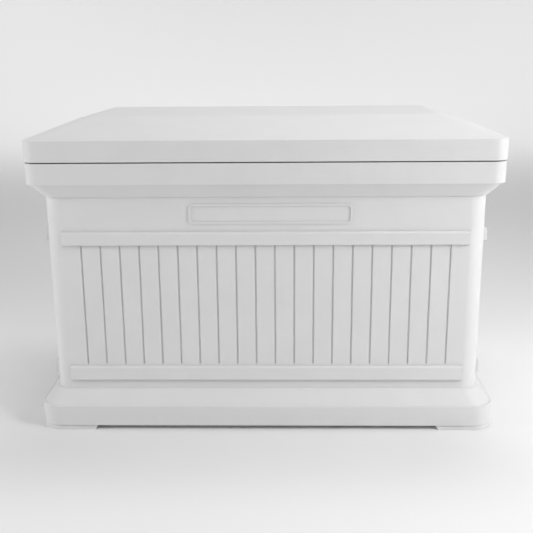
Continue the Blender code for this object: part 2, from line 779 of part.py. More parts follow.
def stays(finishes, screws, lid):
    foot = Vector((STAY_FOOT_Y, STAY_FOOT_Z))
    head = Vector((STAY_HEAD_Y, STAY_HEAD_Z))
    up = (head - foot).normalized()
    steel, black, plastic, chrome = finishes

    def one(side, sign):
        plate = LINER_X - GAP
        face = plate - BRACKET_THICKNESS
        half_y, half_z = STAY_PLATE
        bm = bmesh.new()
        xs = sorted((sign * plate, sign * face))
        low = (xs[0], STAY_FOOT_Y - half_y, STAY_FOOT_Z - half_z)
        high = (xs[1], STAY_FOOT_Y + half_y, STAY_FOOT_Z + half_z)
        block(bm, low, high)
        bracket = new_object(f"stay_body_bracket_{side}", bm, steel)
        stud = ball_stud(f"stay_body_stud_{side}", face, foot, sign)
        combine(bracket, stud, "UNION")
        holes = [
            ((sign * face, STAY_FOOT_Y, STAY_FOOT_Z + offset), (1, 0, 0), SCREW_SHANK + GAP, 0.008)
            for offset in STAY_PLATE_SCREWS
        ]
        drill(f"stay_body_bracket_holes_{side}", bracket, holes)
        for i, offset in enumerate(STAY_PLATE_SCREWS, 1):
            place = (sign * face, STAY_FOOT_Y, STAY_FOOT_Z + offset)
            screw(f"stay_body_screw_{side}_{i}", screws, place, (-sign, 0, 0))

        lid_bracket(side, sign, steel, screws, lid)

        lower = pivot(f"stay_cylinder_pivot_{side}", (sign * STAY_X, *foot))
        name = f"stay_lower_socket_{side}"
        stay_sockets(name, foot, up, STAY_TUBE_START - GAP, sign, plastic, lower)
        bm = bmesh.new()
        profile = (
            (STAY_TUBE_RADIUS - 0.002, STAY_TUBE_START),
            (STAY_TUBE_RADIUS, STAY_TUBE_START + 0.002),
            (STAY_TUBE_RADIUS, STAY_TUBE_END - 0.003),
            (STAY_TUBE_RADIUS - 0.002, STAY_TUBE_END),
            (STAY_ROD_RADIUS + GAP, STAY_TUBE_END),
            (STAY_ROD_RADIUS + GAP, STAY_TUBE_END - STAY_NECK),
            (STAY_BORE_RADIUS, STAY_TUBE_END - STAY_NECK),
            (STAY_BORE_RADIUS, STAY_TUBE_START + STAY_NECK),
        )
        turned(bm, profile, 14, aim((sign * STAY_X, *foot), (0, *up)))
        attach(new_object(f"stay_cylinder_{side}", bm, black), lower)

        upper = pivot(f"stay_rod_pivot_{side}", (sign * STAY_X, *head))
        name = f"stay_upper_socket_{side}"
        stay_sockets(name, head, -up, STAY_ROD_START - GAP, sign, plastic, upper)
        bm = bmesh.new()
        piston = STAY_BORE_RADIUS - 0.0005
        profile = (
            (STAY_ROD_RADIUS, STAY_ROD_START),
            (STAY_ROD_RADIUS, STAY_ROD_END - STAY_NECK),
            (piston, STAY_ROD_END - STAY_NECK),
            (piston, STAY_ROD_END),
        )
        turned(bm, profile, 14, aim((sign * STAY_X, *head), (0, *-up)))
        attach(new_object(f"stay_rod_{side}", bm, chrome), upper)

    sides(one)


def lid_bracket(side, sign, finish, screws, lid):
    """An angle bracket under the lid's pan that carries a stay's upper ball."""
    top = PAN_BOTTOM - GAP
    under = top - BRACKET_THICKNESS
    face = LID_BRACKET_FACE
    back = face + BRACKET_THICKNESS
    bottom = STAY_HEAD_Z - LID_BRACKET_DROP
    section = (
        (LID_BRACKET_EDGE, top),
        (LID_BRACKET_EDGE, under),
        (face, under),
        (face, bottom),
        (back, bottom),
        (back, top),
    )
    outline = [(sign * x, z) for x, z in section]
    bm = bmesh.new()
    prism(bm, outline, "Y", STAY_HEAD_Y - LID_BRACKET_HALF, STAY_HEAD_Y + LID_BRACKET_HALF)
    bracket = attach(new_object(f"stay_lid_bracket_{side}", bm, finish), lid)
    stud = ball_stud(f"stay_lid_stud_{side}", face, (STAY_HEAD_Y, STAY_HEAD_Z), sign)
    combine(bracket, stud, "UNION")
    holes = []
    for i, offset in enumerate(STAY_HEAD_SCREWS, 1):
        place = (sign * STAY_HEAD_SCREW_X, STAY_HEAD_Y + offset, under)
        holes.append((place, (0, 0, 1), SCREW_SHANK + GAP, 0.008))
        screw(f"stay_lid_screw_{side}_{i}", screws, place, (0, 0, -1), lid)
    drill(f"stay_lid_bracket_holes_{side}", bracket, holes)


# Lock


def lock(finishes, screws, lid):
    """A cam lock through the right-hand rim. The cam points up when it is unlocked."""
    chrome, steel = finishes
    outside = HALF_X - RIM_INSET + GAP
    inside = LINER_X - GAP
    barrel_end = inside - 0.0045
    x_axis = aim((0, LOCK_Y, LOCK_Z), (1, 0, 0))

    bm = bmesh.new()
    front = outside + LOCK_PROUD
    profile = (
        (PLUG_BORE, barrel_end),
        (LOCK_BARREL, barrel_end),
        (LOCK_BARREL, outside),
        (LOCK_FACE, outside),
        (LOCK_FACE, outside + LOCK_PROUD / 2),
        (LOCK_FACE - 0.0015, front),
        (PLUG_BORE, front),
    )
    turned_loop(bm, profile, 20, x_axis)
    new_object("lock_housing", bm, chrome)

    bm = bmesh.new()
    bore = LOCK_BARREL + GAP
    nut_start = inside - NUT_THICKNESS
    profile = ((NUT_RADIUS, nut_start), (NUT_RADIUS, inside), (bore, inside), (bore, nut_start))
    hexagon_nut(bm, profile, x_axis)
    new_object("lock_nut", bm, steel)

    turning = pivot("lock_pivot", (outside, LOCK_Y, LOCK_Z))
    plug_radius = PLUG_BORE - GAP
    cam_face = barrel_end - GAP
    cam_back = cam_face - CAM_THICKNESS
    bm = bmesh.new()
    profile = (
        (CAM_HUB, cam_back),
        (CAM_HUB, cam_face),
        (plug_radius, cam_face),
        (plug_radius, front),
        (plug_radius - 0.0005, front + 0.0005),
    )
    turned(bm, profile, 20, x_axis)
    plug = new_object("lock_plug", bm, chrome)
    bm = bmesh.new()
    half_y, half_z = KEYWAY
    low = (outside - 0.010, LOCK_Y - half_y, LOCK_Z - half_z)
    high = (outside + 0.005, LOCK_Y + half_y, LOCK_Z + half_z)
    block(bm, low, high)
    combine(plug, helper("lock_keyway", bm), "DIFFERENCE")
    tap = [((cam_back, LOCK_Y, LOCK_Z), (1, 0, 0), 0.0023, 0.011)]
    attach(drill("lock_plug_tap", plug, tap), turning)

    bm = bmesh.new()
    prism(bm, cam_outline(), "X", cam_back, cam_face)
    cam = new_object("lock_cam", bm, steel)
    hub = [((cam_back, LOCK_Y, LOCK_Z), (1, 0, 0), CAM_HUB + GAP, 0.01)]
    attach(drill("lock_cam_bore", cam, hub), turning)

    bm = bmesh.new()
    profile = ((0.0020, 0.009), (0.0020, -GAP), (0.0050, -GAP), (0.0050, -0.0012), (0.0035, -0.0022))
    turned(bm, profile, 12, aim((cam_back, LOCK_Y, LOCK_Z), (1, 0, 0)))
    attach(new_object("lock_cam_screw", bm, steel), turning)

    lid_strike(steel, screws, lid)


def turned_loop(bm, profile, segments, place):
    """Turns a closed profile about Z, for a piece with a bore right through."""
    rings = []
    for radius, height in profile:
        angles = [2 * math.pi * step / segments for step in range(segments)]
        ring = [Vector((radius * math.cos(a), radius * math.sin(a), height)) for a in angles]
        rings.append([place @ point for point in ring])
    loft(bm, rings, closed=True)


def hexagon_nut(bm, profile, place):
    """A nut whose outside is a hexagon and whose bore is round, with the same points on each."""
    segments = 24
    rings = []
    for radius, height in profile:
        ring = []
        for step in range(segments):
            angle = 2 * math.pi * step / segments
            flat = math.cos(math.pi / 6) / math.cos((angle % (math.pi / 3)) - math.pi / 6)
            reach = radius * flat if radius > LOCK_BARREL + 2 * GAP else radius
            ring.append(place @ Vector((reach * math.cos(angle), reach * math.sin(angle), height)))
        rings.append(ring)
    loft(bm, rings, closed=True)


def cam_outline():
    """A flat finger with round ends, hanging on its hub and reaching straight up."""
    half = CAM_WIDTH / 2
    top = LOCK_Z + CAM_REACH - half
    outline = []
    for centre, start in ((top, 0), (LOCK_Z, 180)):
        for step in range(9):
            angle = math.radians(start + 180 * step / 8)
            outline.append((LOCK_Y + half * math.cos(angle), centre + half * math.sin(angle)))
    return outline


def lid_strike(finish, screws, lid):
    """A hooked bracket on the lid. The cam turns down over its lip to hold the lid shut."""
    top = PAN_BOTTOM - GAP
    under = top - BRACKET_THICKNESS
    inner = STRIKE_FACE - STRIKE_WEB
    lip_top = LOCK_Z - CAM_WIDTH / 2 - 0.0015
    lip_bottom = lip_top - BRACKET_THICKNESS
    outline = (
        (STRIKE_EDGE, top),
        (STRIKE_EDGE, under),
        (inner, under),
        (inner, lip_bottom),
        (STRIKE_LIP, lip_bottom),
        (STRIKE_LIP, lip_top),
        (STRIKE_FACE, lip_top),
        (STRIKE_FACE, top),
    )
    start, end = STRIKE_RUN
    bm = bmesh.new()
    prism(bm, outline, "Y", LOCK_Y + start, LOCK_Y + end)
    strike = attach(new_object("lid_strike", bm, finish), lid)
    holes = []
    for i, offset in enumerate(STRIKE_SCREWS, 1):
        place = (STRIKE_SCREW_X, LOCK_Y + offset, under)
        holes.append((place, (0, 0, 1), SCREW_SHANK + GAP, 0.008))
        screw(f"lid_strike_screw_{i}", screws, place, (0, 0, -1), lid)
    return drill("lid_strike_holes", strike, holes)


def main():
    clear_scene()
    moulded = material("moulded_polyethylene", (0.80, 0.80, 0.80), 0.45)
    liner = material("liner_polyethylene", (0.70, 0.70, 0.70), 0.50)
    rubber = material("black_rubber", (0.03, 0.03, 0.03), 0.80)
    steel = material("zinc_steel", (0.62, 0.62, 0.60), 0.35, 1.0)
    chrome = material("chromed_steel", (0.75, 0.75, 0.76), 0.15, 1.0)
    black = material("black_tube", (0.02, 0.02, 0.02), 0.35)
    plastic = material("black_plastic", (0.04, 0.04, 0.04), 0.50)

    lid = pivot("lid_pivot", (0, AXIS_Y, AXIS_Z))
    screws = screw_mesh(steel)
    body_shell(moulded)
    inner_liner(liner)
    floor_mat(rubber)
    anchor_plugs(plastic)
    lid_shell(moulded, lid)
    lid_liner(liner, lid)
    lid_seal(rubber, lid)
    hinges(steel, steel, screws, lid)
    stays((steel, black, plastic, chrome), screws, lid)
    lock((chrome, steel), screws, lid)


main()
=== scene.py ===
"""Looks of the parcel drop box: a moulded double-walled chest with a hipped lid on two rear hinges.

Metres, +Z up, with the front facing -Y. Each piece is modelled round the fixed frame and rides on one of
its bodies.
"""

import json
import math

import bmesh
import bpy
from mathutils import Matrix, Quaternion, Vector


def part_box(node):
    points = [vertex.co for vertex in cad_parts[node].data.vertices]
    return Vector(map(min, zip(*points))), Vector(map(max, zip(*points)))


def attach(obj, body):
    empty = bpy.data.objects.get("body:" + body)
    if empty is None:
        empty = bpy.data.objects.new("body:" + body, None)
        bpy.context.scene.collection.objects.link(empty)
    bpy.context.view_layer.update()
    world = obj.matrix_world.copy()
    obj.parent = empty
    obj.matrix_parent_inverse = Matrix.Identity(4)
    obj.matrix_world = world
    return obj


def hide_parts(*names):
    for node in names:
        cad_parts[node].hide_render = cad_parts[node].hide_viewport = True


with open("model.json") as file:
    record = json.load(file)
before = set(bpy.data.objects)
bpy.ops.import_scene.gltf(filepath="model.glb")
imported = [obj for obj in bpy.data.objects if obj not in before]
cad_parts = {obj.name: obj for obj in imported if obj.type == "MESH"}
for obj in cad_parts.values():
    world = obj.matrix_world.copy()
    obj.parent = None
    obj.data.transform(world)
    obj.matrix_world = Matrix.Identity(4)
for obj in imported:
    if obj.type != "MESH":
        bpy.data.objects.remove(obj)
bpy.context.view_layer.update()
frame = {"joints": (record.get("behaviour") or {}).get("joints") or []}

bl_info = {
    "name": "Parcel drop box",
    "version": (1, 0, 0),
    "blender": (4, 5, 0),
    "location": "View3D > Sidebar > Parcel box",
    "description": "Models the skins, fittings and finishes of a moulded parcel drop box",
    "category": "Object",
}

# Places that come from the frame
LID_LOW, LID_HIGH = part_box("lid_shell")
BODY_LOW, BODY_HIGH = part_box("body_shell")
LINER_LOW, LINER_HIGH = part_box("inner_liner")
HALF_X = LID_HIGH.x
HALF_Y = LID_HIGH.y
RIM_TOP = BODY_HIGH.z
PIVOTS = {joint["name"]: Vector(joint["pos_m"]) for joint in frame["joints"]}
AXIS = PIVOTS["lid_hinge"]
LOCK = PIVOTS["lock_turn"]
GAP = 0.0003  # between pieces that touch
ANCHOR_HOLE = 0.0045  # radius through the plinth
ANCHOR_ACCESS = 0.008  # radius through the liner's floor, for the cap
LOCK_HOLE = 0.0083  # radius through the skins and the nut, for the lock's barrel
CAM_HOLE = 0.0041
SCREW_HEAD = 0.0024  # height of a screw's head
SHEET = 0.003  # thickness of the stays' brackets and the strike
SIDES = (("left", -1), ("right", 1))
ALONG_X = Vector((1, 0, 0))
ALONG_Y = Vector((0, 1, 0))
UP = Vector((0, 0, 1))


def length(name, description, default):
    return bpy.props.FloatProperty(
        name=name, description=description, default=default, unit="LENGTH", subtype="DISTANCE", precision=4
    )


def angle(name, description, degrees):
    return bpy.props.FloatProperty(
        name=name, description=description, default=math.radians(degrees), unit="ROTATION", subtype="ANGLE"
    )


def colour(name, description, default):
    return bpy.props.FloatVectorProperty(
        name=name, description=description, default=default, subtype="COLOR", size=3, min=0, max=1
    )


def count(name, description, default):
    return bpy.props.IntProperty(name=name, description=description, default=default, min=1)


class BodySizes(bpy.types.PropertyGroup):
    """Sizes of the outer shell and the liner. Insets are measured in from the lid's outline."""

    ground_gap: length("Ground gap", "Height of the plinth's underside over the ground", 0.0098)
    plinth_top: length("Plinth top", "Height of the plinth's upright face", 0.053)
    plinth_reach: length("Plinth reach", "How far the plinth stands out past the lid", 0.0026)
    plinth_corner: length("Plinth corner", "Radius of the plinth's corners in plan", 0.048)
    wall_bottom: length("Wall bottom", "Height where the plinth's slope meets the wall", 0.081)
    wall_top: length("Wall top", "Height where the wall flares out to the rim", 0.4995)
    wall_inset: length("Wall inset", "How far the wall stands in from the lid", 0.0294)
    wall_corner: length("Wall corner", "Radius of the wall's corners in plan", 0.038)
    rim_bottom: length("Rim bottom", "Height of the rim's lower edge", 0.528)
    rim_inset: length("Rim inset", "How far the rim stands in from the lid", 0.001)
    rim_corner: length("Rim corner", "Radius of the rim's corners in plan", 0.030)
    skin: length("Skin", "Thickness of the outer skin", 0.0045)
    wall: length("Wall thickness", "Both skins and the space between them", 0.024)
    liner_skin: length("Liner skin", "Thickness of the liner", 0.004)
    liner_floor: length("Liner floor", "Height of the liner's floor", 0.038)


class PanelSizes(bpy.types.PropertyGroup):
    """Sizes of the boards, rails, border and feet on the outer shell."""

    groove_pitch: length("Board width", "Distance from one groove to the next", 0.040)
    groove_width: length("Groove width", "Width of a groove inside its rounded lips", 0.0034)
    groove_depth: length("Groove depth", "Depth of a groove", 0.0030)
    long_grooves: count("Long grooves", "Grooves on the front and on the back", 20)
    short_grooves: count("Short grooves", "Grooves on each end", 10)
    low_rail: length("Lower rail", "Height of the lower rail's underside", 0.1035)
    low_rail_top: length("Lower rail top", "Height of the lower rail's upper edge", 0.1345)
    high_rail: length("Upper rail", "Height of the upper rail's underside", 0.399)
    high_rail_top: length("Upper rail top", "Height of the upper rail's upper edge", 0.427)
    rail_proud: length("Rail depth", "How far a rail stands out of the wall", 0.007)
    rail_end: length("Rail end", "Distance from a rail's end to the corner of the wall", 0.035)
    border_width: length("Border length", "Length of the blank raised border on the front", 0.335)
    border_height: length("Border height", "Height of the blank raised border", 0.042)
    border_x: length("Border across", "How far the border's middle is from the box's middle", 0.012)
    border_z: length("Border up", "Height of the border's middle", 0.4635)
    foot_length: length("Foot", "Length of each foot along the plinth", 0.128)


class LidSizes(bpy.types.PropertyGroup):
    """Sizes of the lid."""

    eave: length("Eave", "Height where the lid's upright edge meets its slopes", 0.616)
    run_side: length("End slope", "Run of the slopes at the two ends", 0.12)
    run_front: length("Front slope", "Run of the slopes at the front and the back", 0.165)
    skin: length("Skin", "Thickness of the lid's skin", 0.0045)
    corner: length("Corner", "Radius of the lid's corners in plan", 0.030)
    pan_corner: length("Pan corner", "Radius of the pan's corners in plan", 0.026)
    plug_gap: length("Plug gap", "Room between the pan and the liner's mouth", 0.004)


class StageSizes(bpy.types.PropertyGroup):
    """Camera, floor and lights."""

    camera: bpy.props.FloatVectorProperty(
        name="Camera", description="Where the camera stands", default=(0.041, -1.928, 0.8055), subtype="XYZ"
    )
    pitch: angle("Pitch", "How far the camera looks down", 15.1)
    yaw: angle("Yaw", "How far the camera turns to the right", -1.30)
    roll: angle("Roll", "How far the camera leans", -0.475)
    lens: bpy.props.FloatProperty(
        name="Lens", description="Focal length in millimetres", default=56.85, subtype="DISTANCE_CAMERA"
    )
    floor_radius: length("Floor", "Radius of the floor", 7.0)
    world_strength: bpy.props.FloatProperty(
        name="World", description="Brightness of the surroundings", default=0.2, min=0.0
    )


class Colours(bpy.types.PropertyGroup):
    """Colours of the object's materials."""

    moulded: colour("Moulded plastic", "Outer skins of the body and the lid", (0.80, 0.80, 0.80))
    liner: colour("Liner plastic", "Inner skins", (0.62, 0.63, 0.64))
    rubber: colour("Rubber", "Seal and floor mat", (0.022, 0.022, 0.023))
    steel: colour("Zinc-plated steel", "Hinges, brackets, nut and screws", (0.60, 0.60, 0.58))
    chrome: colour("Chromed steel", "Lock and rods", (0.78, 0.78, 0.79))
    enamel: colour("Black enamel", "Tubes of the gas stays", (0.012, 0.012, 0.013))
    nylon: colour("Black nylon", "Sockets and anchor caps", (0.030, 0.030, 0.031))
    floor: colour("Floor", "The floor the box stands on", (0.90, 0.90, 0.90))


# Modelling helpers


def deselect():
    if bpy.context.mode != "OBJECT":
        bpy.ops.object.mode_set(mode="OBJECT")
    bpy.ops.object.select_all(action="DESELECT")


def activate(obj):
    deselect()
    obj.select_set(True)
    bpy.context.view_layer.objects.active = obj


def begin(name):
    """An object with an empty mesh at the origin, in edit mode."""
    deselect()
    bpy.ops.mesh.primitive_plane_add(size=1, location=(0, 0, 0))
    obj = bpy.context.object
    obj.name = obj.data.name = name
    bpy.ops.object.mode_set(mode="EDIT")
    bpy.ops.mesh.delete(type="VERT")
    return obj


def pick(kind, chosen):
    """Selects the vertices, edges or faces of the mesh in edit mode for which chosen(item) holds."""
    mesh = bpy.context.object.data
    bpy.ops.mesh.select_mode(type=kind)
    bpy.ops.mesh.select_all(action="DESELECT")
    bm = bmesh.from_edit_mesh(mesh)
    for item in {"VERT": bm.verts, "EDGE": bm.edges, "FACE": bm.faces}[kind]:
        if chosen(item):
            item.select_set(True)
    bmesh.update_edit_mesh(mesh)


def near(value, target):
    return abs(value - target) < 1e-5


def edge_at(**place):
    """A test for edges that lie wholly at the given x, y or z."""

    def test(edge):
        return all(near(getattr(vert.co, axis), at) for vert in edge.verts for axis, at in place.items())

    return test


def close(obj, place=None):
    """Leaves edit mode with faces outwards, and moves the finished shape to its place."""
    bpy.ops.mesh.select_all(action="SELECT")
    bpy.ops.mesh.normals_make_consistent(inside=False)
    bpy.ops.object.mode_set(mode="OBJECT")
    if place is not None:
        obj.matrix_world = place
        activate(obj)
        bpy.ops.object.transform_apply(location=True, rotation=True, scale=True)
    return obj


def aim(location, direction):
    """A matrix that takes +Z at the origin to a direction at a place."""
    turn = Vector(direction).to_track_quat("Z", "Y").to_matrix().to_4x4()
    return Matrix.Translation(location) @ turn


def soften(points, steps=4):
    """Rounds the corners of a line. Each point's last number says how far from it the rounding starts."""
    line = []
    for i, (*place, soft) in enumerate(points):
        place = Vector(place)
        if not soft or i in (0, len(points) - 1):
            line.append(place)
            continue
        before = Vector(points[i - 1][:-1]) - place
        after = Vector(points[i + 1][:-1]) - place
        start = place + before.normalized() * min(soft, before.length * 0.48)
        end = place + after.normalized() * min(soft, after.length * 0.48)
        for step in range(steps + 1):
            share = step / steps
            line.append(start * (1 - share) ** 2 + place * 2 * share * (1 - share) + end * share * share)
    return line


def add_ring(half_x, half_y, radius, height, steps):
    """Adds a rounded rectangle to the mesh in edit mode, and leaves it selected."""
    bpy.ops.mesh.select_all(action="DESELECT")
    bpy.ops.mesh.primitive_plane_add(size=2, location=(0, 0, height))
    bpy.ops.transform.resize(value=(half_x, half_y, 1), center_override=(0, 0, height))
    bpy.ops.mesh.bevel(offset=radius, segments=steps, affect="VERTICES", clamp_overlap=False)


def open_edge(edge):
    return len(edge.link_faces) < 2


LIFT = 1.0  # a new ring is bridged this far up, because flat rings one inside the other can be joined askew


def lower_ring():
    pick("VERT", lambda vert: vert.co.z > LIFT * 0.8)
    bpy.ops.transform.translate(value=(0, 0, -LIFT))


def shell(name, points, corner_steps=9, edge_steps=4, ring=False):
    """Bridges rounded rectangles along a softened line of (half x, half y, radius, height, soft) points."""
    line = soften(points, edge_steps)
    obj = begin(name)
    add_ring(*line[0], corner_steps)
    for half_x, half_y, radius, height in line[1:]:
        add_ring(half_x, half_y, radius, height + LIFT, corner_steps)
        bpy.ops.mesh.delete(type="ONLY_FACE")
        pick("EDGE", open_edge)
        bpy.ops.mesh.bridge_edge_loops()
        lower_ring()
    if ring:
        bpy.ops.transform.translate(value=(0, 0, LIFT))
        pick("FACE", lambda face: len(face.verts) > 4)
        bpy.ops.mesh.delete(type="ONLY_FACE")
        pick("EDGE", open_edge)
        bpy.ops.mesh.bridge_edge_loops()
        lower_ring()
    else:
        pick("EDGE", open_edge)
        bpy.ops.mesh.edge_face_add()
    return close(obj)


def outline(inset, radius, height, soft=0.0):
    """One point of a shell's section: a rounded rectangle set in from the lid's outline."""
    return (HALF_X - inset, HALF_Y - inset, radius, height, soft)


def turned(name, profile, place, segments=40, bore=False, edge_steps=3):
    """Turns (radius, height, soft) points about Z, extruding and scaling a circle, and puts it in place."""
    line = soften(profile, edge_steps)
    obj = begin(name)
    fill = "NOTHING" if bore else "NGON"
    radius, height = line[0]
    bpy.ops.mesh.primitive_circle_add(
        vertices=segments, radius=radius, location=(0, 0, height), fill_type=fill
    )
    for wide, high in line[1:]:
        bpy.ops.mesh.extrude_region_move(TRANSFORM_OT_translate={"value": (0, 0, high - height)})
        bpy.ops.transform.resize(value=(wide / radius, wide / radius, 1), center_override=(0, 0, high))
        radius, height = wide, high
    if bore:
        pick("EDGE", open_edge)
        bpy.ops.mesh.bridge_edge_loops()
    return close(obj, place)


def add_block(low, high):
    """Adds a block between two corners to the mesh in edit mode, and leaves it selected."""
    low, high = Vector(low), Vector(high)
    middle = (low + high) / 2
    bpy.ops.mesh.select_all(action="DESELECT")
    bpy.ops.mesh.primitive_cube_add(size=1, location=middle)
    bpy.ops.transform.resize(value=high - low, center_override=middle)


def bevel(width, steps=3):
    bpy.ops.mesh.bevel(offset=width, segments=steps, affect="EDGES", clamp_overlap=True)


def plate(name, low, high, thin, corner, soft=0.0004):
    """A flat plate, thin along one axis, with round corners and softened edges."""
    obj = begin(name)
    add_block(low, high)
    index = "xyz".index(thin)
    pick("EDGE", lambda edge: abs((edge.verts[0].co - edge.verts[1].co)[index]) > 1e-5)
    bevel(corner, 6)
    pick("EDGE", lambda edge: abs((edge.verts[0].co - edge.verts[1].co)[index]) < 1e-7)
    bevel(soft, 2)
    return close(obj)


def folded(name, section, start, end):
    """Pushes a flat section of (x, z) points along Y, and softens its edges."""
    obj = begin(name)
    bm = bmesh.from_edit_mesh(obj.data)
    near_end, far_end = ([bm.verts.new((x, y, z)) for x, z in section] for y in (start, end))
    bm.faces.new(near_end)
    bm.faces.new(far_end[::-1])
    for i in range(len(section)):
        bm.faces.new((near_end[i - 1], near_end[i], far_end[i], far_end[i - 1]))
    bmesh.update_edit_mesh(obj.data)
    bpy.ops.mesh.select_all(action="SELECT")
    bpy.ops.mesh.normals_make_consistent(inside=False)
    bevel(0.0005, 2)
    return close(obj)


def apply_modifier(obj, kind, **settings):
    activate(obj)
    bpy.ops.object.modifier_add(type=kind)
    modifier = obj.modifiers[-1]
    for key, value in settings.items():
        setattr(modifier, key, value)
    bpy.ops.object.modifier_apply(modifier=modifier.name)


def repeat(obj, number, pitch):
    """A row of copies along X."""
    apply_modifier(
        obj,
        "ARRAY",
        count=number,
        use_relative_offset=False,
        use_constant_offset=True,
        constant_offset_displace=(pitch, 0, 0),
    )
    return obj


def combine(obj, other, operation="DIFFERENCE"):
    """Cuts or joins one shape with another, which is used up."""
    apply_modifier(obj, "BOOLEAN", object=other, operation=operation, solver="MANIFOLD")
    bpy.data.objects.remove(other)
    return obj


def drill(obj, centre, direction, radius, half, segments=32):
    profile = ((radius, -half, 0), (radius, half, 0))
    return combine(obj, turned("drill", profile, aim(centre, direction), segments))


def joined(objects):
    activate(objects[0])
    for obj in objects:
        obj.select_set(True)
    bpy.ops.object.join()
    return objects[0]


def copy_of(first, name, move):
    """A copy with its own mesh, moved by a matrix."""
    made = first.copy()
    made.data = first.data.copy()
    made.name = made.data.name = name
    bpy.context.scene.collection.objects.link(made)
    made.data.transform(move)
    return made


def finish(obj, body, node, slot, sharp=32):
    """Shades a piece, gives it its material, and ties it to the frame."""
    activate(obj)
    bpy.ops.object.shade_smooth_by_angle(angle=math.radians(sharp))
    apply_modifier(obj, "WEIGHTED_NORMAL", keep_sharp=True)
    obj.data.materials.clear()
    obj.data.materials.append(material(slot))
    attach(obj, body)
    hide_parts(node)


# Shader helpers


class Term:
    """A value in a material's nodes. Arithmetic on it adds Math nodes."""

    def __init__(self, paint, socket):
        self.paint = paint
        self.socket = socket

    def maths(self, operation, first, second):
        return self.paint.node("Math", {"operation": operation}, {0: first, 1: second})

    def __add__(self, other):
        return self.maths("ADD", self, other)

    __radd__ = __add__

    def __sub__(self, other):
        return self.maths("SUBTRACT", self, other)

    def __rsub__(self, other):
        return self.maths("SUBTRACT", other, self)

    def __mul__(self, other):
        return self.maths("MULTIPLY", self, other)

    __rmul__ = __mul__

    def between(self, low, high):
        """0 below low, 1 above high, and a smooth step from one to the other."""
        settings = {"interpolation_type": "SMOOTHSTEP"}
        return self.paint.node("MapRange", settings, {"Value": self, "From Min": low, "From Max": high})


class Paint:
    """A material in the making, around one Principled shader."""

    def __init__(self, name, roughness, metallic=0.0, coat=0.0, coat_roughness=0.1):
        self.material = bpy.data.materials.new(name)
        self.material.use_nodes = True
        self.tree = self.material.node_tree
        self.shader = self.tree.nodes["Principled BSDF"]
        self.set("Roughness", roughness)
        self.set("Metallic", metallic)
        self.set("Coat Weight", coat)
        self.set("Coat Roughness", coat_roughness)
        self.place = self.node("TexCoord", output="Object")

    def set(self, name, value):
        self.shader.inputs[name].default_value = value

    def node(self, kind, settings=None, inputs=None, output=0):
        """Adds a node, with its settings first and then the values or links of its sockets."""
        made = self.tree.nodes.new("ShaderNode" + kind)
        for key, value in (settings or {}).items():
            setattr(made, key, value)
        for key, value in (inputs or {}).items():
            if isinstance(value, Term):
                self.tree.links.new(value.socket, made.inputs[key])
            else:
                made.inputs[key].default_value = value
        return Term(self, made.outputs[output])

    def noise(self, size, detail=2.0, rough=0.5, place=None):
        """Soft blotches about as large as size, from 0 to 1."""
        inputs = {"Vector": place or self.place, "Scale": 1 / size, "Detail": detail, "Roughness": rough}
        return self.node("TexNoise", None, inputs)

    def stretched(self, x, y, z):
        return self.node("Mapping", None, {"Vector": self.place, "Scale": (x, y, z)})

    def height(self):
        return self.node("SeparateXYZ", None, {"Vector": self.place}, "Z")

    def mix(self, share, first, second):
        """A colour between two colours, each a tint or a term."""
        first, second = (part if isinstance(part, Term) else (*part, 1) for part in (first, second))
        return self.node("Mix", {"data_type": "RGBA"}, {0: share, 6: first, 7: second}, 2)

    def feed(self, name, term):
        self.tree.links.new(term.socket, self.shader.inputs[name])

    def relief(self, term):
        """Feeds a height in metres to the shader's normal."""
        self.feed("Normal", self.node("Bump", None, {"Height": term, "Distance": 1.0}, "Normal"))


def shade(tint, factor):
    return tuple(min(1.0, channel * factor) for channel in tint)


# Materials

MATERIALS = {}


def material(name):
    """The named material, made the first time it is asked for."""
    if name not in MATERIALS:
        MATERIALS[name] = MAKERS[name](bpy.context.scene.parcel_colours)
    return MATERIALS[name]


def rotomoulded(name, tint, roughness):
    """Polyethylene from a hot mould: gently wavy, finely grained, with a few pinholes, some dust with
    painted shade darkening it low down, and painted shade darkening its creases."""
    paint = Paint(name, roughness)
    paint.set("Specular IOR Level", 0.42)
    waves = paint.noise(0.16, 1.0)
    ripple = paint.noise(0.035, 2.0)
    cloud = paint.noise(0.07, 4.0, 0.6)
    grain = paint.noise(0.0011, 2.0, 0.6)
    cells = paint.node("TexVoronoi", None, {"Vector": paint.place, "Scale": 210.0}, "Distance")
    pinholes = (1 - cells.between(0.05, 0.11)) * paint.noise(0.02, 1.0).between(0.56, 0.66)
    scuffs = paint.noise(0.012, 5.0, 0.7, paint.stretched(1, 1, 3)).between(0.60, 0.78)
    # Darker towards the bottom in patches: some dust, and painted shade where less light reaches low down
    dust_and_low_shade = (1 - paint.height().between(0.0, 0.06)) * cloud.between(0.35, 0.75)
    clean = cloud.between(0.25, 0.75)
    # Painted shade: ambient occlusion darkens the base colour in grooves, creases and under the rails
    open_air = paint.node("AmbientOcclusion", {"samples": 8}, {"Distance": 0.010}, "AO")
    crease_shade = (1 - open_air.between(0.30, 0.95)) * (0.75 + cloud * 0.25)
    fresh = paint.mix(clean, shade(tint, 0.985), shade(tint, 1.01))
    # The base colour is pulled towards a darker tone by the painted shade in creases and by the dust with
    # painted shade low down
    paint.feed("Base Color", paint.mix(dust_and_low_shade * 0.3 + crease_shade * 0.7, fresh, shade(tint, 0.72)))
    paint.feed("Roughness", roughness - 0.03 + cloud * 0.07 + scuffs * 0.06 + grain * 0.04)
    paint.relief(waves * 0.0011 + ripple * 0.00010 + grain * 0.000035 - pinholes * 0.00012)
    return paint.material


def moulded(tints):
    return rotomoulded("moulded_polyethylene", tints.moulded, 0.46)


def liner_plastic(tints):
    return rotomoulded("liner_polyethylene", tints.liner, 0.52)


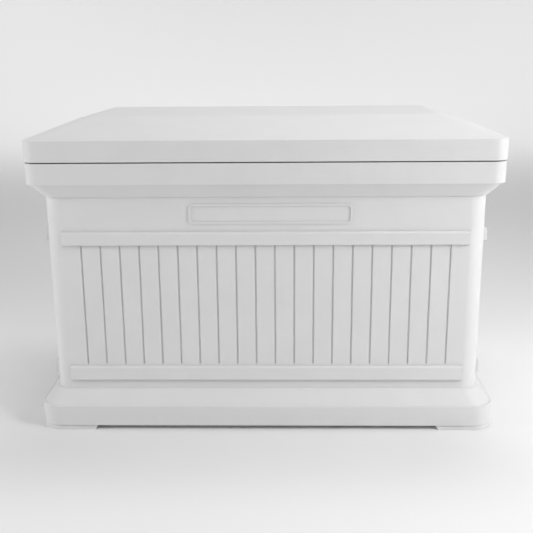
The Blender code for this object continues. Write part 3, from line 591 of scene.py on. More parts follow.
def rubber(tints):
    """Black rubber with a fine skin, paler where it is dusty."""
    paint = Paint("black_rubber", 0.7)
    dusty = paint.noise(0.03, 4.0, 0.65).between(0.45, 0.75)
    speck = paint.noise(0.0009, 2.0)
    paint.feed("Base Color", paint.mix(dusty, tints.rubber, shade(tints.rubber, 2.2)))
    paint.feed("Roughness", 0.62 + dusty * 0.16 + speck * 0.06)
    paint.relief(speck * 0.00005 + paint.noise(0.006, 2.0) * 0.00008)
    return paint.material


def zinc_steel(tints):
    """Zinc-plated steel: faint spangle, rolled grain and a few duller patches."""
    paint = Paint("zinc_steel", 0.35, metallic=1.0)
    spangle = paint.node("TexVoronoi", None, {"Vector": paint.place, "Scale": 420.0}, "Color")
    patch = paint.noise(0.012, 4.0, 0.6).between(0.4, 0.7)
    rolled = paint.noise(0.0007, 2.0, 0.5, paint.stretched(0.06, 1, 1))
    shine = paint.node("SeparateXYZ", None, {"Vector": spangle}, "X")
    paint.feed("Base Color", paint.mix(patch, tints.steel, shade(tints.steel, 0.82)))
    paint.feed("Roughness", 0.27 + patch * 0.14 + shine * 0.06 + rolled * 0.05)
    paint.relief(rolled * 0.000012 + shine * 0.000004)
    return paint.material


def chrome(tints):
    """Bright chrome with hairline scratches."""
    paint = Paint("chromed_steel", 0.12, metallic=1.0)
    hair = paint.noise(0.0004, 3.0, 0.6, paint.stretched(1, 1, 0.05)).between(0.55, 0.75)
    haze = paint.noise(0.01, 3.0).between(0.4, 0.8)
    paint.feed("Base Color", paint.mix(haze, tints.chrome, shade(tints.chrome, 0.93)))
    paint.feed("Roughness", 0.08 + haze * 0.09 + hair * 0.08)
    paint.relief(hair * -0.000004)
    return paint.material


def enamel(tints):
    """Black stoving enamel with a soft orange peel."""
    paint = Paint("black_enamel", 0.28, coat=0.4, coat_roughness=0.15)
    peel = paint.noise(0.0016, 2.0)
    worn = paint.noise(0.02, 4.0, 0.7).between(0.5, 0.75)
    paint.feed("Base Color", paint.mix(worn, tints.enamel, shade(tints.enamel, 2.0)))
    paint.feed("Roughness", 0.24 + worn * 0.14)
    paint.relief(peel * 0.00003)
    return paint.material


def nylon(tints):
    """Black glass-filled nylon: matt, with a spark-eroded texture."""
    paint = Paint("black_nylon", 0.5)
    texture = paint.noise(0.0006, 3.0, 0.6)
    cloud = paint.noise(0.015, 3.0).between(0.35, 0.7)
    paint.feed("Base Color", paint.mix(cloud, tints.nylon, shade(tints.nylon, 1.5)))
    paint.feed("Roughness", 0.44 + cloud * 0.08 + texture * 0.06)
    paint.relief(texture * 0.00003)
    return paint.material


def floor_paint(tints):
    """A pale seamless floor with the faintest unevenness."""
    paint = Paint("pale_floor", 0.8)
    patch = paint.noise(1.5, 3.0)
    paint.feed("Base Color", paint.mix(patch, shade(tints.floor, 0.99), tints.floor))
    return paint.material


MAKERS = {
    "moulded_shell": moulded,
    "liner": liner_plastic,
    "rubber": rubber,
    "screw_steel": zinc_steel,
    "zinc_steel": zinc_steel,
    "black_tube": enamel,
    "chrome": chrome,
    "black_plastic": nylon,
    "floor": floor_paint,
}


# Outer shell


def wall_faces(sizes, panel):
    """The four wall faces: the turn from the front, the half width, the distance out and the grooves."""
    wall_x = HALF_X - sizes.wall_inset
    wall_y = HALF_Y - sizes.wall_inset
    return (
        (0, wall_x, wall_y, panel.long_grooves),
        (90, wall_y, wall_x, panel.short_grooves),
        (180, wall_x, wall_y, panel.long_grooves),
        (270, wall_y, wall_x, panel.short_grooves),
    )


def turn_to(obj, degrees):
    obj.data.transform(Matrix.Rotation(math.radians(degrees), 4, "Z"))
    return obj


def groove_row(panel, out, number):
    """Cutters for one wall's grooves: round at the bottom, with rolled lips and a run-out low down."""
    half = panel.groove_width / 2
    low = panel.low_rail_top + 0.003
    high = panel.high_rail + 0.006
    outside = -out - 0.002
    bottom = -out + panel.groove_depth
    lip = 0.0004
    obj = begin("grooves")
    add_block((-half, outside, low), (half, bottom, high))
    at_bottom = edge_at(y=bottom)
    pick("EDGE", lambda edge: at_bottom(edge) and not near(edge.verts[0].co.z, edge.verts[1].co.z))
    bevel(half * 0.9, 4)
    for depth in (lip * 3, lip, 0.0):
        bpy.ops.mesh.select_all(action="SELECT")
        bpy.ops.mesh.bisect(plane_co=(0, -out + depth, 0), plane_no=(0, 1, 0))
    pick("VERT", lambda vert: near(vert.co.y, -out + lip))
    bpy.ops.transform.resize(value=(1.25, 1, 1), center_override=(0, 0, 0))
    pick("VERT", lambda vert: vert.co.y < -out + 1e-5)
    bpy.ops.transform.resize(value=(1.75, 1, 1), center_override=(0, 0, 0))
    bpy.ops.mesh.select_all(action="SELECT")
    bpy.ops.mesh.bisect(plane_co=(0, 0, low + 0.003), plane_no=(0, 0, 1))
    pick("VERT", lambda vert: near(vert.co.z, low))
    bpy.ops.transform.resize(value=(0.35, 0.5, 1), center_override=(0, outside, low))
    start = (number - 1) / 2 * panel.groove_pitch
    close(obj, Matrix.Translation((-start, 0, 0)))
    return repeat(obj, number, panel.groove_pitch)


def rail(panel, half, out, low, high):
    """One rail: a rounded upper edge, a crisper lower one and softened ends."""
    reach = half - panel.rail_end
    face = -out - panel.rail_proud
    obj = begin("rail")
    add_block((-reach, face, low), (reach, -out + 0.0035, high))
    pick("EDGE", edge_at(y=face, z=high))
    bevel(0.0050, 6)
    pick("EDGE", edge_at(y=face, z=low))
    bevel(0.0018, 3)
    pick("EDGE", lambda edge: all(near(abs(vert.co.x), reach) and vert.co.y < -out for vert in edge.verts))
    bevel(0.0022, 3)
    return close(obj)


def front_border(sizes, panel):
    """A blank raised border with rounded corners, on the front only."""
    wide = panel.border_width / 2
    tall = panel.border_height / 2
    band = 0.005
    section = (
        (wide, tall, 0.009, 0.003, 0),
        (wide, tall, 0.009, -0.0020, 0.0010),
        (wide - band, tall - band, 0.006, -0.0020, 0.0010),
        (wide - band, tall - band, 0.006, 0.003, 0),
    )
    made = shell("border", section, 5, 2, ring=True)
    stand = Matrix.Rotation(math.radians(-90), 4, "X")
    wall = -(HALF_Y - sizes.wall_inset)
    made.data.transform(Matrix.Translation((panel.border_x, wall, panel.border_z)) @ stand)
    return made


def feet(sizes, panel):
    """A slab under the plinth with rounded lower edges, cut away to leave a foot at each corner."""
    corner = sizes.plinth_corner
    inset = 0.0034 - sizes.plinth_reach
    top = sizes.ground_gap + 0.003
    slab = shell(
        "feet",
        (
            outline(inset + 0.012, corner - 0.012, 0.0),
            outline(inset + 0.001, corner - 0.004, 0.0, 0.007),
            outline(inset, corner - 0.004, top),
        ),
    )
    bevel_run = 0.010
    for across, along in ((HALF_X, 0), (HALF_Y, 1)):
        half = across + sizes.plinth_reach - panel.foot_length
        obj = begin("gap_under")
        reach = [1.0, 1.0]
        reach[along] = half
        add_block((-reach[0], -reach[1], -0.001), (reach[0], reach[1], top + 0.001))
        pick("VERT", lambda vert: vert.co.z < 0)
        scale = [1, 1, 1]
        scale[along] = (half + bevel_run) / half
        bpy.ops.transform.resize(value=scale, center_override=(0, 0, 0))
        combine(slab, close(obj))
    return slab


def anchor_places():
    """Middles of the anchor caps, in the frame."""
    names = [f"anchor_plug_{end}_{side}" for end in ("front", "back") for side in ("left", "right")]
    return {name: (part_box(name)[0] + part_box(name)[1]) / 2 for name in names}


class PARCELBOX_OT_body(bpy.types.Operator):
    """The outer shell, with its plinth, boards, rails, border and feet"""

    bl_idname = "parcel_box.body"
    bl_label = "Outer shell"

    def execute(self, context):
        sizes = context.scene.parcel_body
        panel = context.scene.parcel_panel
        plinth = -sizes.plinth_reach
        inner = sizes.wall_inset + sizes.skin
        rim_in = sizes.rim_inset + 0.005
        ledge = RIM_TOP - sizes.liner_skin - GAP
        under = ledge - sizes.liner_skin
        skin = sizes.skin
        body = shell(
            "body_skin",
            (
                outline(plinth + 0.014, sizes.plinth_corner - 0.014, sizes.ground_gap),
                outline(plinth, sizes.plinth_corner, sizes.ground_gap, 0.006),
                outline(plinth, sizes.plinth_corner, sizes.plinth_top, 0.007),
                outline(sizes.wall_inset, sizes.wall_corner, sizes.wall_bottom, 0.005),
                outline(sizes.wall_inset, sizes.wall_corner, sizes.wall_top, 0.005),
                outline(sizes.rim_inset, sizes.rim_corner, sizes.rim_bottom, 0.005),
                outline(sizes.rim_inset, sizes.rim_corner, RIM_TOP, 0.003),
                outline(rim_in, sizes.rim_corner - 0.004, RIM_TOP, 0.0004),
                outline(rim_in, sizes.rim_corner - 0.004, ledge),
                outline(0.018, sizes.rim_corner - 0.008, ledge),
                outline(0.018, sizes.rim_corner - 0.008, under),
                outline(sizes.rim_inset + skin, sizes.rim_corner - skin, under),
                outline(sizes.rim_inset + skin, sizes.rim_corner - skin, sizes.rim_bottom + 0.003, 0.004),
                outline(inner, sizes.wall_corner - skin, sizes.wall_top + 0.002, 0.004),
                outline(inner, sizes.wall_corner - skin, sizes.wall_bottom + 0.002, 0.004),
                outline(plinth + skin, sizes.plinth_corner - skin, sizes.plinth_top - 0.001, 0.004),
                outline(plinth + skin, sizes.plinth_corner - skin, sizes.ground_gap + skin),
            ),
            corner_steps=10,
        )
        grooves = []
        rails = []
        heights = ((panel.low_rail, panel.low_rail_top), (panel.high_rail, panel.high_rail_top))
        for degrees, half, out, number in wall_faces(sizes, panel):
            grooves.append(turn_to(groove_row(panel, out, number), degrees))
            rails += [turn_to(rail(panel, half, out, low, high), degrees) for low, high in heights]
        combine(body, joined(grooves))
        combine(body, joined(rails), "UNION")
        combine(body, front_border(sizes, panel), "UNION")
        combine(body, feet(sizes, panel), "UNION")
        for place in anchor_places().values():
            drill(body, (place.x, place.y, sizes.ground_gap), UP, ANCHOR_HOLE, 0.008)
        drill(body, (HALF_X, LOCK.y, LOCK.z), ALONG_X, LOCK_HOLE, 0.015)
        finish(body, "box", "body_shell", "moulded_shell", 28)
        return {"FINISHED"}


class PARCELBOX_OT_liner(bpy.types.Operator):
    """The inner skin of the double wall, with the flange that laps the rim"""

    bl_idname = "parcel_box.liner"
    bl_label = "Liner"

    def execute(self, context):
        sizes = context.scene.parcel_body
        inner = sizes.wall_inset + sizes.wall
        outer = inner - sizes.liner_skin
        corner = sizes.wall_corner - 0.008
        flange = RIM_TOP - sizes.liner_skin
        edge = sizes.rim_inset + 0.005 + GAP
        liner = shell(
            "liner_skin",
            (
                outline(outer + 0.012, corner - 0.008, sizes.liner_floor - sizes.liner_skin),
                outline(outer, corner, sizes.liner_floor - sizes.liner_skin, 0.010),
                outline(outer, corner, flange, 0.002),
                outline(edge, sizes.rim_corner - 0.0043, flange),
                outline(edge, sizes.rim_corner - 0.0043, RIM_TOP, 0.0006),
                outline(inner, corner - 0.002, RIM_TOP, 0.004),
                outline(inner, corner - 0.002, sizes.liner_floor, 0.008),
                outline(inner + 0.010, corner - 0.010, sizes.liner_floor),
            ),
        )
        for place in anchor_places().values():
            drill(liner, (place.x, place.y, sizes.liner_floor), UP, ANCHOR_ACCESS, 0.01)
        drill(liner, (HALF_X - inner, LOCK.y, LOCK.z), ALONG_X, LOCK_HOLE, 0.012)
        finish(liner, "box", "inner_liner", "liner")
        return {"FINISHED"}


class PARCELBOX_OT_mat(bpy.types.Operator):
    """The ribbed rubber mat on the liner's floor"""

    bl_idname = "parcel_box.mat"
    bl_label = "Floor mat"

    def execute(self, context):
        low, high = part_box("floor_mat")
        ribs = 18
        border = 0.004
        pitch = (high.x - low.x) / ribs
        web = low.z + 0.004
        mat = plate("ribbed_mat", low, (high.x, high.y, web), "z", 0.012, 0.0010)
        rib = begin("rib")
        middle = low.x + pitch / 2
        half = pitch / 5
        add_block((middle - half, low.y + border, web - 0.0015), (middle + half, high.y - border, high.z))
        pick("EDGE", edge_at(z=high.z))
        bevel(0.0028, 4)
        combine(mat, repeat(close(rib), ribs, pitch), "UNION")
        finish(mat, "box", "floor_mat", "rubber")
        return {"FINISHED"}


class PARCELBOX_OT_caps(bpy.types.Operator):
    """The slotted caps over the four anchor holes"""

    bl_idname = "parcel_box.caps"
    bl_label = "Anchor caps"

    def execute(self, context):
        floor = context.scene.parcel_body.liner_floor
        profile = (
            (0.0060, -0.009, 0),
            (0.0072, -0.009, 0.0006),
            (0.0077, -0.006, 0.0006),
            (0.0077, GAP, 0),
            (0.0130, GAP, 0.0003),
            (0.0130, 0.0014, 0.0010),
            (0.0100, 0.0028, 0.0014),
            (0.0020, 0.0028, 0),
        )
        first = turned("cap", profile, Matrix())
        slot = begin("slot")
        add_block((-0.0065, -0.0008, 0.0018), (0.0065, 0.0008, 0.004))
        combine(first, close(slot))
        for name, place in anchor_places().items():
            cap = copy_of(first, name.replace("plug", "cap"), Matrix.Translation((place.x, place.y, floor)))
            finish(cap, "box", name, "black_plastic")
        bpy.data.objects.remove(first)
        return {"FINISHED"}


# Lid


class PARCELBOX_OT_lid(bpy.types.Operator):
    """The hipped outer skin of the lid"""

    bl_idname = "parcel_box.lid"
    bl_label = "Lid shell"

    def execute(self, context):
        lid = context.scene.parcel_lid

        def roof(share, radius, height, soft=0.0, skin=0.0):
            half_x = HALF_X - skin - share * lid.run_side
            half_y = HALF_Y - skin - share * lid.run_front
            return (half_x, half_y, radius, height, soft)

        top = LID_HIGH.z
        bottom = LID_LOW.z
        skin = shell(
            "lid_skin",
            (
                roof(1.12, 0.006, top),
                roof(1.0, 0.010, top, 0.010),
                roof(0.0, lid.corner, lid.eave, 0.006),
                roof(0.0, lid.corner, bottom, 0.003),
                outline(lid.skin, lid.corner - lid.skin, bottom, 0.001),
                roof(0.0, lid.corner - lid.skin, lid.eave - 0.005, 0.005, lid.skin),
                roof(1.0, 0.010, top - lid.skin, 0.006, lid.skin),
                roof(1.12, 0.006, top - lid.skin, 0.0, lid.skin),
            ),
            corner_steps=10,
        )
        finish(skin, "lid", "lid_shell", "moulded_shell", 28)
        return {"FINISHED"}


class PARCELBOX_OT_pan(bpy.types.Operator):
    """The pan that closes the lid from below and drops a little way into the liner's mouth"""

    bl_idname = "parcel_box.pan"
    bl_label = "Lid pan"

    def execute(self, context):
        body = context.scene.parcel_body
        lid = context.scene.parcel_lid
        low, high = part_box("lid_liner")
        inset = body.wall_inset + body.wall + lid.plug_gap
        corner = lid.pan_corner
        edge = lid.skin + GAP
        flange = high.z - body.liner_skin
        pan = shell(
            "lid_pan",
            (
                outline(inset + 0.010, corner - 0.008, low.z),
                outline(inset, corner, low.z, 0.003),
                outline(inset - 0.001, corner, flange, 0.002),
                outline(edge, lid.corner - lid.skin, flange, 0.0005),
                outline(edge, lid.corner - lid.skin, high.z),
                outline(inset + 0.003, corner, high.z, 0.002),
                outline(inset + 0.005, corner - 0.002, low.z + body.liner_skin, 0.003),
                outline(inset + 0.015, corner - 0.010, low.z + body.liner_skin),
            ),
        )
        finish(pan, "lid", "lid_liner", "liner")
        return {"FINISHED"}


class PARCELBOX_OT_seal(bpy.types.Operator):
    """The rubber seal stuck under the lid's edge, with two soft lips"""

    bl_idname = "parcel_box.seal"
    bl_label = "Lid seal"

    def execute(self, context):
        low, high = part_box("lid_seal")
        outer = HALF_X - high.x
        inner = outer + 0.010
        corner = 0.022
        section = (
            outline(outer, corner, high.z),
            outline(outer + 0.0008, corner, low.z, 0.0012),
            outline(outer + 0.0040, corner, low.z, 0.0008),
            outline(outer + 0.0050, corner, low.z + 0.0007, 0.0006),
            outline(outer + 0.0060, corner, low.z, 0.0008),
            outline(inner - 0.0008, corner - 0.002, low.z, 0.0012),
            outline(inner, corner - 0.002, high.z),
        )
        seal = shell("lip_seal", section, ring=True)
        finish(seal, "lid", "lid_seal", "rubber", 50)
        return {"FINISHED"}


# Hinges


KNUCKLES = 5
KNUCKLE_RADIUS = 0.005
PIN_RADIUS = 0.0022


class PARCELBOX_OT_hinges(bpy.types.Operator):
    """The two butt hinges on the back, with their pins"""

    bl_idname = "parcel_box.hinges"
    bl_label = "Hinges"

    def execute(self, context):
        thick = 0.002
        clear = 0.0065
        corner = 0.004
        body_low, body_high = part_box("hinge_body_leaf_left")
        lid_low, lid_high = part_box("hinge_lid_leaf_left")
        x_low, x_high = body_low.x, body_high.x
        middle = (x_low + x_high) / 2
        pitch = (x_high - x_low) / KNUCKLES

        body_end = (x_high, body_low.y + thick, AXIS.z - clear)
        body_leaf = plate("body_leaf", (x_low, body_low.y, body_low.z), body_end, "y", corner)
        lid_end = (x_high, lid_low.y + thick, lid_high.z)
        lid_leaf = plate("lid_leaf", (x_low, lid_low.y, AXIS.z + clear), lid_end, "y", corner)
        for slot in range(KNUCKLES):
            start = x_low + slot * pitch + 0.0002
            end = start + pitch - 0.0004
            on_body = slot % 2 == 0
            leaf = body_leaf if on_body else lid_leaf
            leaf_y = body_low.y if on_body else lid_low.y
            reach = -(clear + 0.001) if on_body else clear + 0.001
            strap = begin("strap")
            heights = sorted((AXIS.z, AXIS.z + reach))
            add_block((start, leaf_y, heights[0]), (end, leaf_y + thick, heights[1]))
            combine(leaf, close(strap), "UNION")
            half = (end - start) / 2
            profile = (
                (KNUCKLE_RADIUS * 0.5, -half, 0),
                (KNUCKLE_RADIUS, -half, 0.0003),
                (KNUCKLE_RADIUS, half, 0.0003),
                (KNUCKLE_RADIUS * 0.5, half, 0),
            )
            place = aim((start + half, AXIS.y, AXIS.z), ALONG_X)
            combine(leaf, turned("knuckle", profile, place, 36), "UNION")
        for leaf, leaf_y, height in (
            (body_leaf, body_low.y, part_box("hinge_body_screw_left_1")),
            (lid_leaf, lid_low.y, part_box("hinge_lid_screw_left_1")),
        ):
            drill(leaf, (middle, AXIS.y, AXIS.z), ALONG_X, PIN_RADIUS + GAP, pitch * 3, 24)
            screw_z = (height[0].z + height[1].z) / 2
            for offset in (-0.028, 0, 0.028):
                drill(leaf, (middle + offset, leaf_y, screw_z), ALONG_Y, 0.0027, 0.006, 24)

        end = pitch * KNUCKLES / 2 + GAP
        head = 0.0034
        upper_half = (
            (PIN_RADIUS, end, 0),
            (head, end, 0.0002),
            (head, end + 0.0008, 0.0006),
            (PIN_RADIUS + 0.0004, end + 0.0015, 0.0006),
            (0.0008, end + 0.0015, 0),
        )
        lower_half = [(radius, -height, soft) for radius, height, soft in reversed(upper_half)]
        pin = turned("hinge_pin", (*lower_half, *upper_half), aim((middle, AXIS.y, AXIS.z), ALONG_X), 28)

        for side, _ in SIDES:
            move = Matrix.Translation((0 if side == "left" else -2 * middle, 0, 0))
            for first, kind, body in (
                (body_leaf, "hinge_body_leaf", "box"),
                (lid_leaf, "hinge_lid_leaf", "lid"),
                (pin, "hinge_pin", "box"),
            ):
                made = copy_of(first, f"{kind}_visible_{side}", move)
                finish(made, body, f"{kind}_{side}", "zinc_steel")
        for first in (body_leaf, lid_leaf, pin):
            bpy.data.objects.remove(first)
        return {"FINISHED"}


# Screws


def pan_screw(long=0.014):
    """A pan-head screw with a cross recess and a thread, pointing down -Z from the underside of its head."""
    shank = 0.0024
    head = 0.0045
    tall = SCREW_HEAD
    profile = [(0.0004, -long, 0), (shank * 0.7, -long + 0.002, 0.0006)]
    turns = 9
    step = (long - 0.003) / turns
    for turn in range(turns):
        bottom = -long + 0.002 + turn * step
        profile.append((shank - 0.0004, bottom + step * 0.4, 0))
        profile.append((shank, bottom + step * 0.7, 0))
    profile += [
        (shank, GAP, 0),
        (head, GAP, 0.0003),
        (head, tall * 0.45, 0.0009),
        (head * 0.6, tall, 0.0012),
        (0.0004, tall, 0),
    ]
    screw = turned("screw", profile, Matrix(), 28)
    for degrees in (0, 90):
        arm = begin("arm")
        add_block((-0.0021, -0.0005, tall - 0.0013), (0.0021, 0.0005, tall + 0.001))
        pick("VERT", lambda vert: vert.co.z < tall)
        bpy.ops.transform.resize(value=(0.55, 0.7, 1), center_override=(0, 0, tall))
        close(arm)
        arm.data.transform(Matrix.Rotation(math.radians(degrees), 4, "Z"))
        combine(screw, arm)
    return screw


def screw_directions():
    """Each screw node of the frame, with the body it rides on and the way its head faces."""
    found = []
    for side, sign in SIDES:
        for number in (1, 2, 3):
            found.append((f"hinge_body_screw_{side}_{number}", "box", ALONG_Y))
            found.append((f"hinge_lid_screw_{side}_{number}", "lid", ALONG_Y))
        for number in (1, 2):
            found.append((f"stay_body_screw_{side}_{number}", "box", -sign * ALONG_X))
            found.append((f"stay_lid_screw_{side}_{number}", "lid", -UP))
    for number in (1, 2):
        found.append((f"lid_strike_screw_{number}", "lid", -UP))
    return found


class PARCELBOX_OT_screws(bpy.types.Operator):
    """Every screw of the hinges, the stays and the strike"""

    bl_idname = "parcel_box.screws"
    bl_label = "Screws"

    def execute(self, context):
        first = pan_screw()
        for turn, (node, body, facing) in enumerate(screw_directions()):
            low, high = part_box(node)
            middle = (low + high) / 2
            half = (high - low) / 2
            reach = sum(abs(facing[i]) * half[i] for i in range(3))
            seat = middle + facing * (reach - SCREW_HEAD)
            spin = Matrix.Rotation(math.radians(37 * turn), 4, "Z")
            made = copy_of(first, node + "_visible", aim(seat, facing) @ spin)
            finish(made, body, node, "screw_steel")
        bpy.data.objects.remove(first)
        return {"FINISHED"}


# Gas stays


BALL = 0.005
SOCKET = 0.0085
NECK_ENDS = {"lower": 0.0257, "upper": 0.0217}  # from the ball's centre to the end of the socket's neck
TUBE = 0.009
TUBE_BORE = 0.0072
TUBE_START, TUBE_END = 0.026, 0.330  # along the stay, from the lower ball
ROD = 0.004
PISTON = 0.0067
ROD_START, ROD_END = 0.022, 0.322  # along the stay, from the upper ball
FRONT_SEAL = 0.008  # length of the tube's end, inside its rolled groove


def ball_stud(name, face, end, other, sign):
    """A shoulder, a neck and a ball, growing inwards from a bracket's face."""
    reach = abs(face) - end
    neck = 0.0030
    profile = [(0.0045, -0.001, 0), (0.0045, 0.0016, 0.0004), (neck, 0.0022, 0.0004)]
    start = math.asin(neck / BALL)
    steps = 12
    for step in range(steps + 1):
        turn = start + (math.pi - start) * step / steps
        profile.append((max(BALL * math.sin(turn), 0.0004), reach - BALL * math.cos(turn), 0))
    return turned(name, profile, aim((face, *other), (-sign, 0, 0)), 28)


def stay_socket(name, node, centre, direction, sign, body):
    """A cup that snaps over a ball, with a ribbed neck towards the rest of the stay."""
    low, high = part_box(node)
    inboard = min(abs(low.x), abs(high.x))
    outboard = max(abs(low.x), abs(high.x))
    profile = (
        (SOCKET * 0.4, inboard, 0),
        (SOCKET, inboard, 0.0018),
        (SOCKET, outboard, 0.0008),
        (BALL + 0.0004, outboard, 0.0003),
        (BALL + 0.0004, inboard + 0.0027, 0.001),
        (0.0008, inboard + 0.0027, 0),
    )
    cup = turned(name, profile, aim((0, *centre), (sign, 0, 0)), 36)
    end = NECK_ENDS[node.split("_")[1]]
    neck = (
        (0.0052, 0.0062, 0),
        (0.0046, 0.0095, 0.001),
        (0.0046, end - 0.005, 0.0005),
        (0.0058, end - 0.004, 0.0004),
        (0.0058, end, 0.0004),
        (0.0020, end, 0),
    )
    place = aim((sign * abs(PIVOTS["stay_rod_right_pivot"].x), *centre), (0, *direction))
    combine(cup, turned("neck", neck, place, 28), "UNION")
    finish(cup, body, node, "black_plastic")


class PARCELBOX_OT_stays(bpy.types.Operator):
    """The two gas stays, with their ball studs and brackets"""

    bl_idname = "parcel_box.stays"
    bl_label = "Gas stays"

    def execute(self, context):
        for side, sign in SIDES:
            foot = PIVOTS[f"stay_cylinder_{side}_pivot"]
            head = PIVOTS[f"stay_rod_{side}_pivot"]
            up = (head - foot).normalized()
            cylinder = f"stay_cylinder_{side}"
            rod = f"stay_rod_{side}"
            self.body_bracket(side, sign, foot)
            self.lid_bracket(side, sign, head)
            for end, ball, along, body in (("lower", foot, up, cylinder), ("upper", head, -up, rod)):
                node = f"stay_{end}_socket_{side}"
                stay_socket(f"{end}_socket_{side}", node, (ball.y, ball.z), (along.y, along.z), sign, body)
            made = turned(f"stay_tube_{side}", self.tube_profile(), aim(foot, up), 40)
            finish(made, cylinder, cylinder, "black_tube")
            made = turned(f"stay_piston_rod_{side}", self.rod_profile(), aim(head, -up), 36)
            finish(made, rod, rod, "chrome")
        return {"FINISHED"}

    def tube_profile(self):
        """The pressure tube: closed at the foot, with a groove rolled in near its open end."""
        groove = TUBE_END - FRONT_SEAL
        return (
            (0.0040, TUBE_START, 0),
            (TUBE, TUBE_START, 0.002),
            (TUBE, groove - 0.006, 0.001),
            (TUBE - 0.0006, groove - 0.004, 0.0006),
            (TUBE - 0.0006, groove - 0.002, 0.0006),
            (TUBE, groove, 0.001),
            (TUBE, TUBE_END, 0.003),
            (ROD + GAP, TUBE_END, 0),
            (ROD + GAP, groove, 0),
            (TUBE_BORE, groove, 0),
            (TUBE_BORE, TUBE_START + 0.008, 0),
            (0.0010, TUBE_START + 0.008, 0),
        )

    def rod_profile(self):
        """The rod, with the piston at its lower end."""
        return (
            (0.0030, ROD_START, 0),
            (ROD, ROD_START, 0.0006),
            (ROD, ROD_END - 0.008, 0),
            (PISTON, ROD_END - 0.008, 0.0005),
            (PISTON, ROD_END, 0.0005),
            (0.0020, ROD_END, 0),
        )

    def body_bracket(self, side, sign, foot):
        node = f"stay_body_bracket_{side}"
        low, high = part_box(node)
        outer = max(abs(low.x), abs(high.x))
        face = outer - SHEET
        xs = sorted((sign * outer, sign * face))
        made = plate(node + "_visible", (xs[0], low.y, low.z), (xs[1], high.y, high.z), "x", 0.008)
        combine(made, ball_stud("stud", sign * face, abs(foot.x), (foot.y, foot.z), sign), "UNION")
        finish(made, "box", node, "zinc_steel")

    def lid_bracket(self, side, sign, head):
        node = f"stay_lid_bracket_{side}"
        low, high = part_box(node)
        inner, outer = sorted((abs(low.x), abs(high.x)))
        face = outer - SHEET
        under = high.z - SHEET
        bend = 0.003
        mitre = 0.0009
        section = [
            (inner, high.z),
            (inner, under),
            (face - bend, under),
            (face - mitre, under - mitre),
            (face, under - bend),
            (face, low.z),
            (outer, low.z),
            (outer, high.z - bend),
            (outer - mitre, high.z - mitre),
            (outer - bend, high.z),
        ]
        section = [(sign * x, z) for x, z in section]
        made = folded(node + "_visible", section, low.y, high.y)
        combine(made, ball_stud("stud", sign * face, abs(head.x), (head.y, head.z), sign), "UNION")
        finish(made, "lid", node, "zinc_steel")


# Lock


